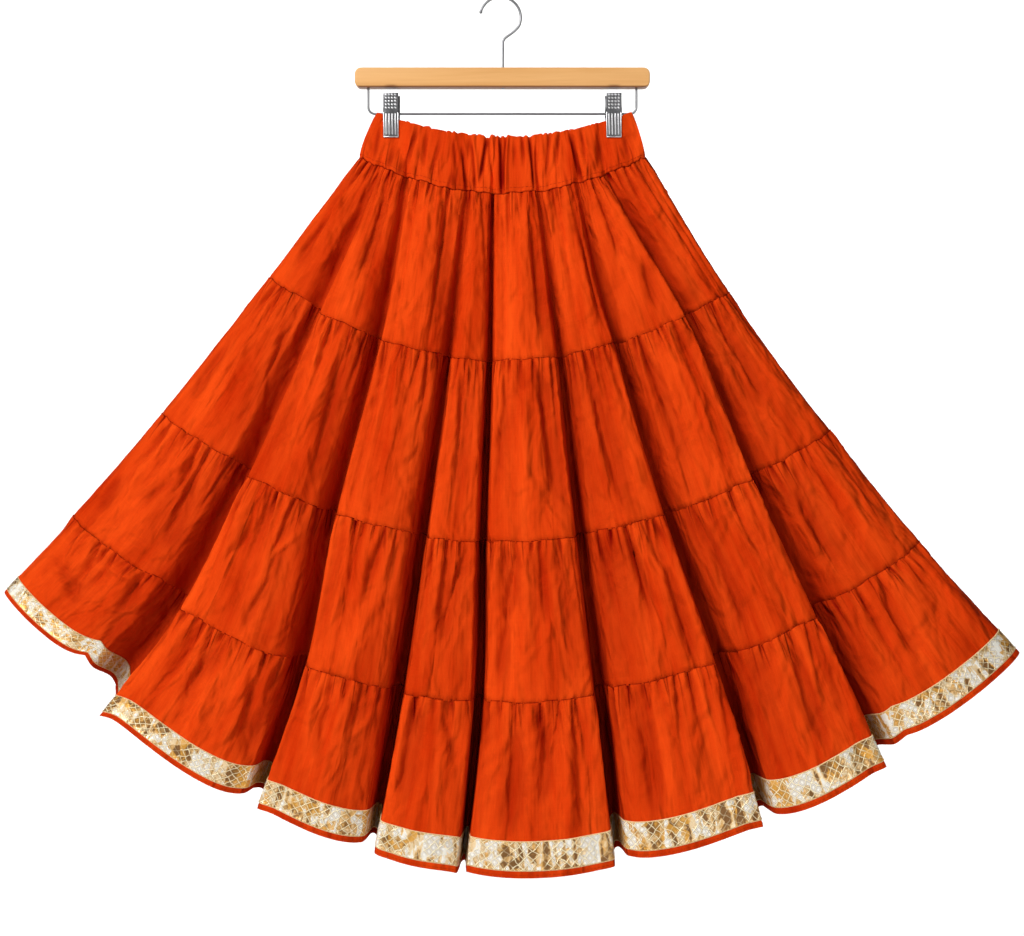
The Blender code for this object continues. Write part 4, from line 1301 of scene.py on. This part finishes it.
def make_cove():
    """The studio's white paper: a floor that sweeps up into a wall far behind."""
    shop = Shop("studio_paper", roughness=0.9)
    shop.shader.inputs["Base Color"].default_value = (0.93, 0.93, 0.93, 1.0)
    floor_z, bend_y, bend = -2.1, 5.0, 2.0
    turns = np.linspace(0.1, math.pi / 2, 12)
    profile = [(-6.0, floor_z), (bend_y, floor_z)]
    profile += [(bend_y + bend * math.sin(t), floor_z + bend - bend * math.cos(t)) for t in turns]
    profile += [(bend_y + bend, 6.0)]
    form = bmesh.new()
    verts = [form.verts.new((-9.0, y, z)) for y, z in profile]
    edges = [form.edges.new(pair) for pair in zip(verts, verts[1:])]
    grown = bmesh.ops.extrude_edge_only(form, edges=edges)["geom"]
    moved = [item for item in grown if isinstance(item, bmesh.types.BMVert)]
    bmesh.ops.translate(form, vec=(18.0, 0.0, 0.0), verts=moved)
    bmesh.ops.recalc_face_normals(form, faces=form.faces)
    finished("studio_cove", form, shop.material)


def make_lights():
    """A soft key from the upper left, a weak fill, an even backdrop and a faint white world."""
    world = bpy.data.worlds.new("studio")
    bpy.context.scene.world = world
    world.use_nodes = True
    sky = world.node_tree.nodes["Background"]
    sky.inputs[0].default_value = (1.0, 1.0, 1.0, 1.0)
    sky.inputs[1].default_value = 0.1
    area_light("key", (-2.5, -3.6, 1.9), (0.05, 0.0, -0.6), 1.9, 222)
    area_light("fill", (1.4, -3.2, -0.4), (0.0, 0.0, -0.6), 2.0, 18)
    area_light("backdrop_left", (-3.0, 3.5, 2.5), (-1.5, 7.0, -0.5), 2.5, 180)
    area_light("backdrop_right", (3.0, 3.5, 2.5), (1.5, 7.0, -0.5), 2.5, 176)


# ---------------------------------------------------------------- making it all
make_camera()
make_cove()
make_lights()

DARK_ORANGE = (0.54, 0.024, 0.0008)
# The red that the cloth's painted shade darkens towards.
PAINTED_SHADE_RED = (0.2, 0.0012, 0.0004)
orange = cotton("orange_cotton_cloth", (0.90, 0.078, 0.006), DARK_ORANGE, PAINTED_SHADE_RED)
casing = cotton("orange_casing_cloth", (0.87, 0.073, 0.0055), DARK_ORANGE, PAINTED_SHADE_RED)
foil = gold_foil("gold_foil_ribbon")
wood = lacquered_wood("lacquered_wood")
bright_steel = plated_steel("bright_steel_wire", (0.33, 0.33, 0.34), 0.42, (40.0, 900.0, 900.0))
# Copies of the same clip steel: painted shade on the plates, strips and coils, painted highlight on
# the ribs, rims and bumps.
shaded_clip_steel = plated_steel("clip_steel_painted_shade", (0.17, 0.17, 0.175), 0.4, (900.0, 900.0, 60.0))
lit_clip_steel = plated_steel("clip_steel_painted_highlight", (0.80, 0.79, 0.80), 0.34, (900.0, 900.0, 60.0))
thread = sewing_thread("orange_thread", (0.34, 0.015, 0.002), (0.55, 0.035, 0.003))
gold_thread = sewing_thread("gold_thread", (0.50, 0.31, 0.10), (0.86, 0.60, 0.28))

waistband = make_waistband(casing, thread)
tiers = {name: make_tier(name, orange) for name in PIECES}
band, band_length = make_gold_band(foil, thread, gold_thread)

make_bar(wood, bright_steel)
make_hook(bright_steel)
make_rail(bright_steel)
for label, side in (("left", -1), ("right", 1)):
    make_jaw(label, side, -1, 9.4, shaded_clip_steel, lit_clip_steel)
    make_jaw(label, side, 1, 10.6, shaded_clip_steel, lit_clip_steel)
    make_spring(label, side, shaded_clip_steel)
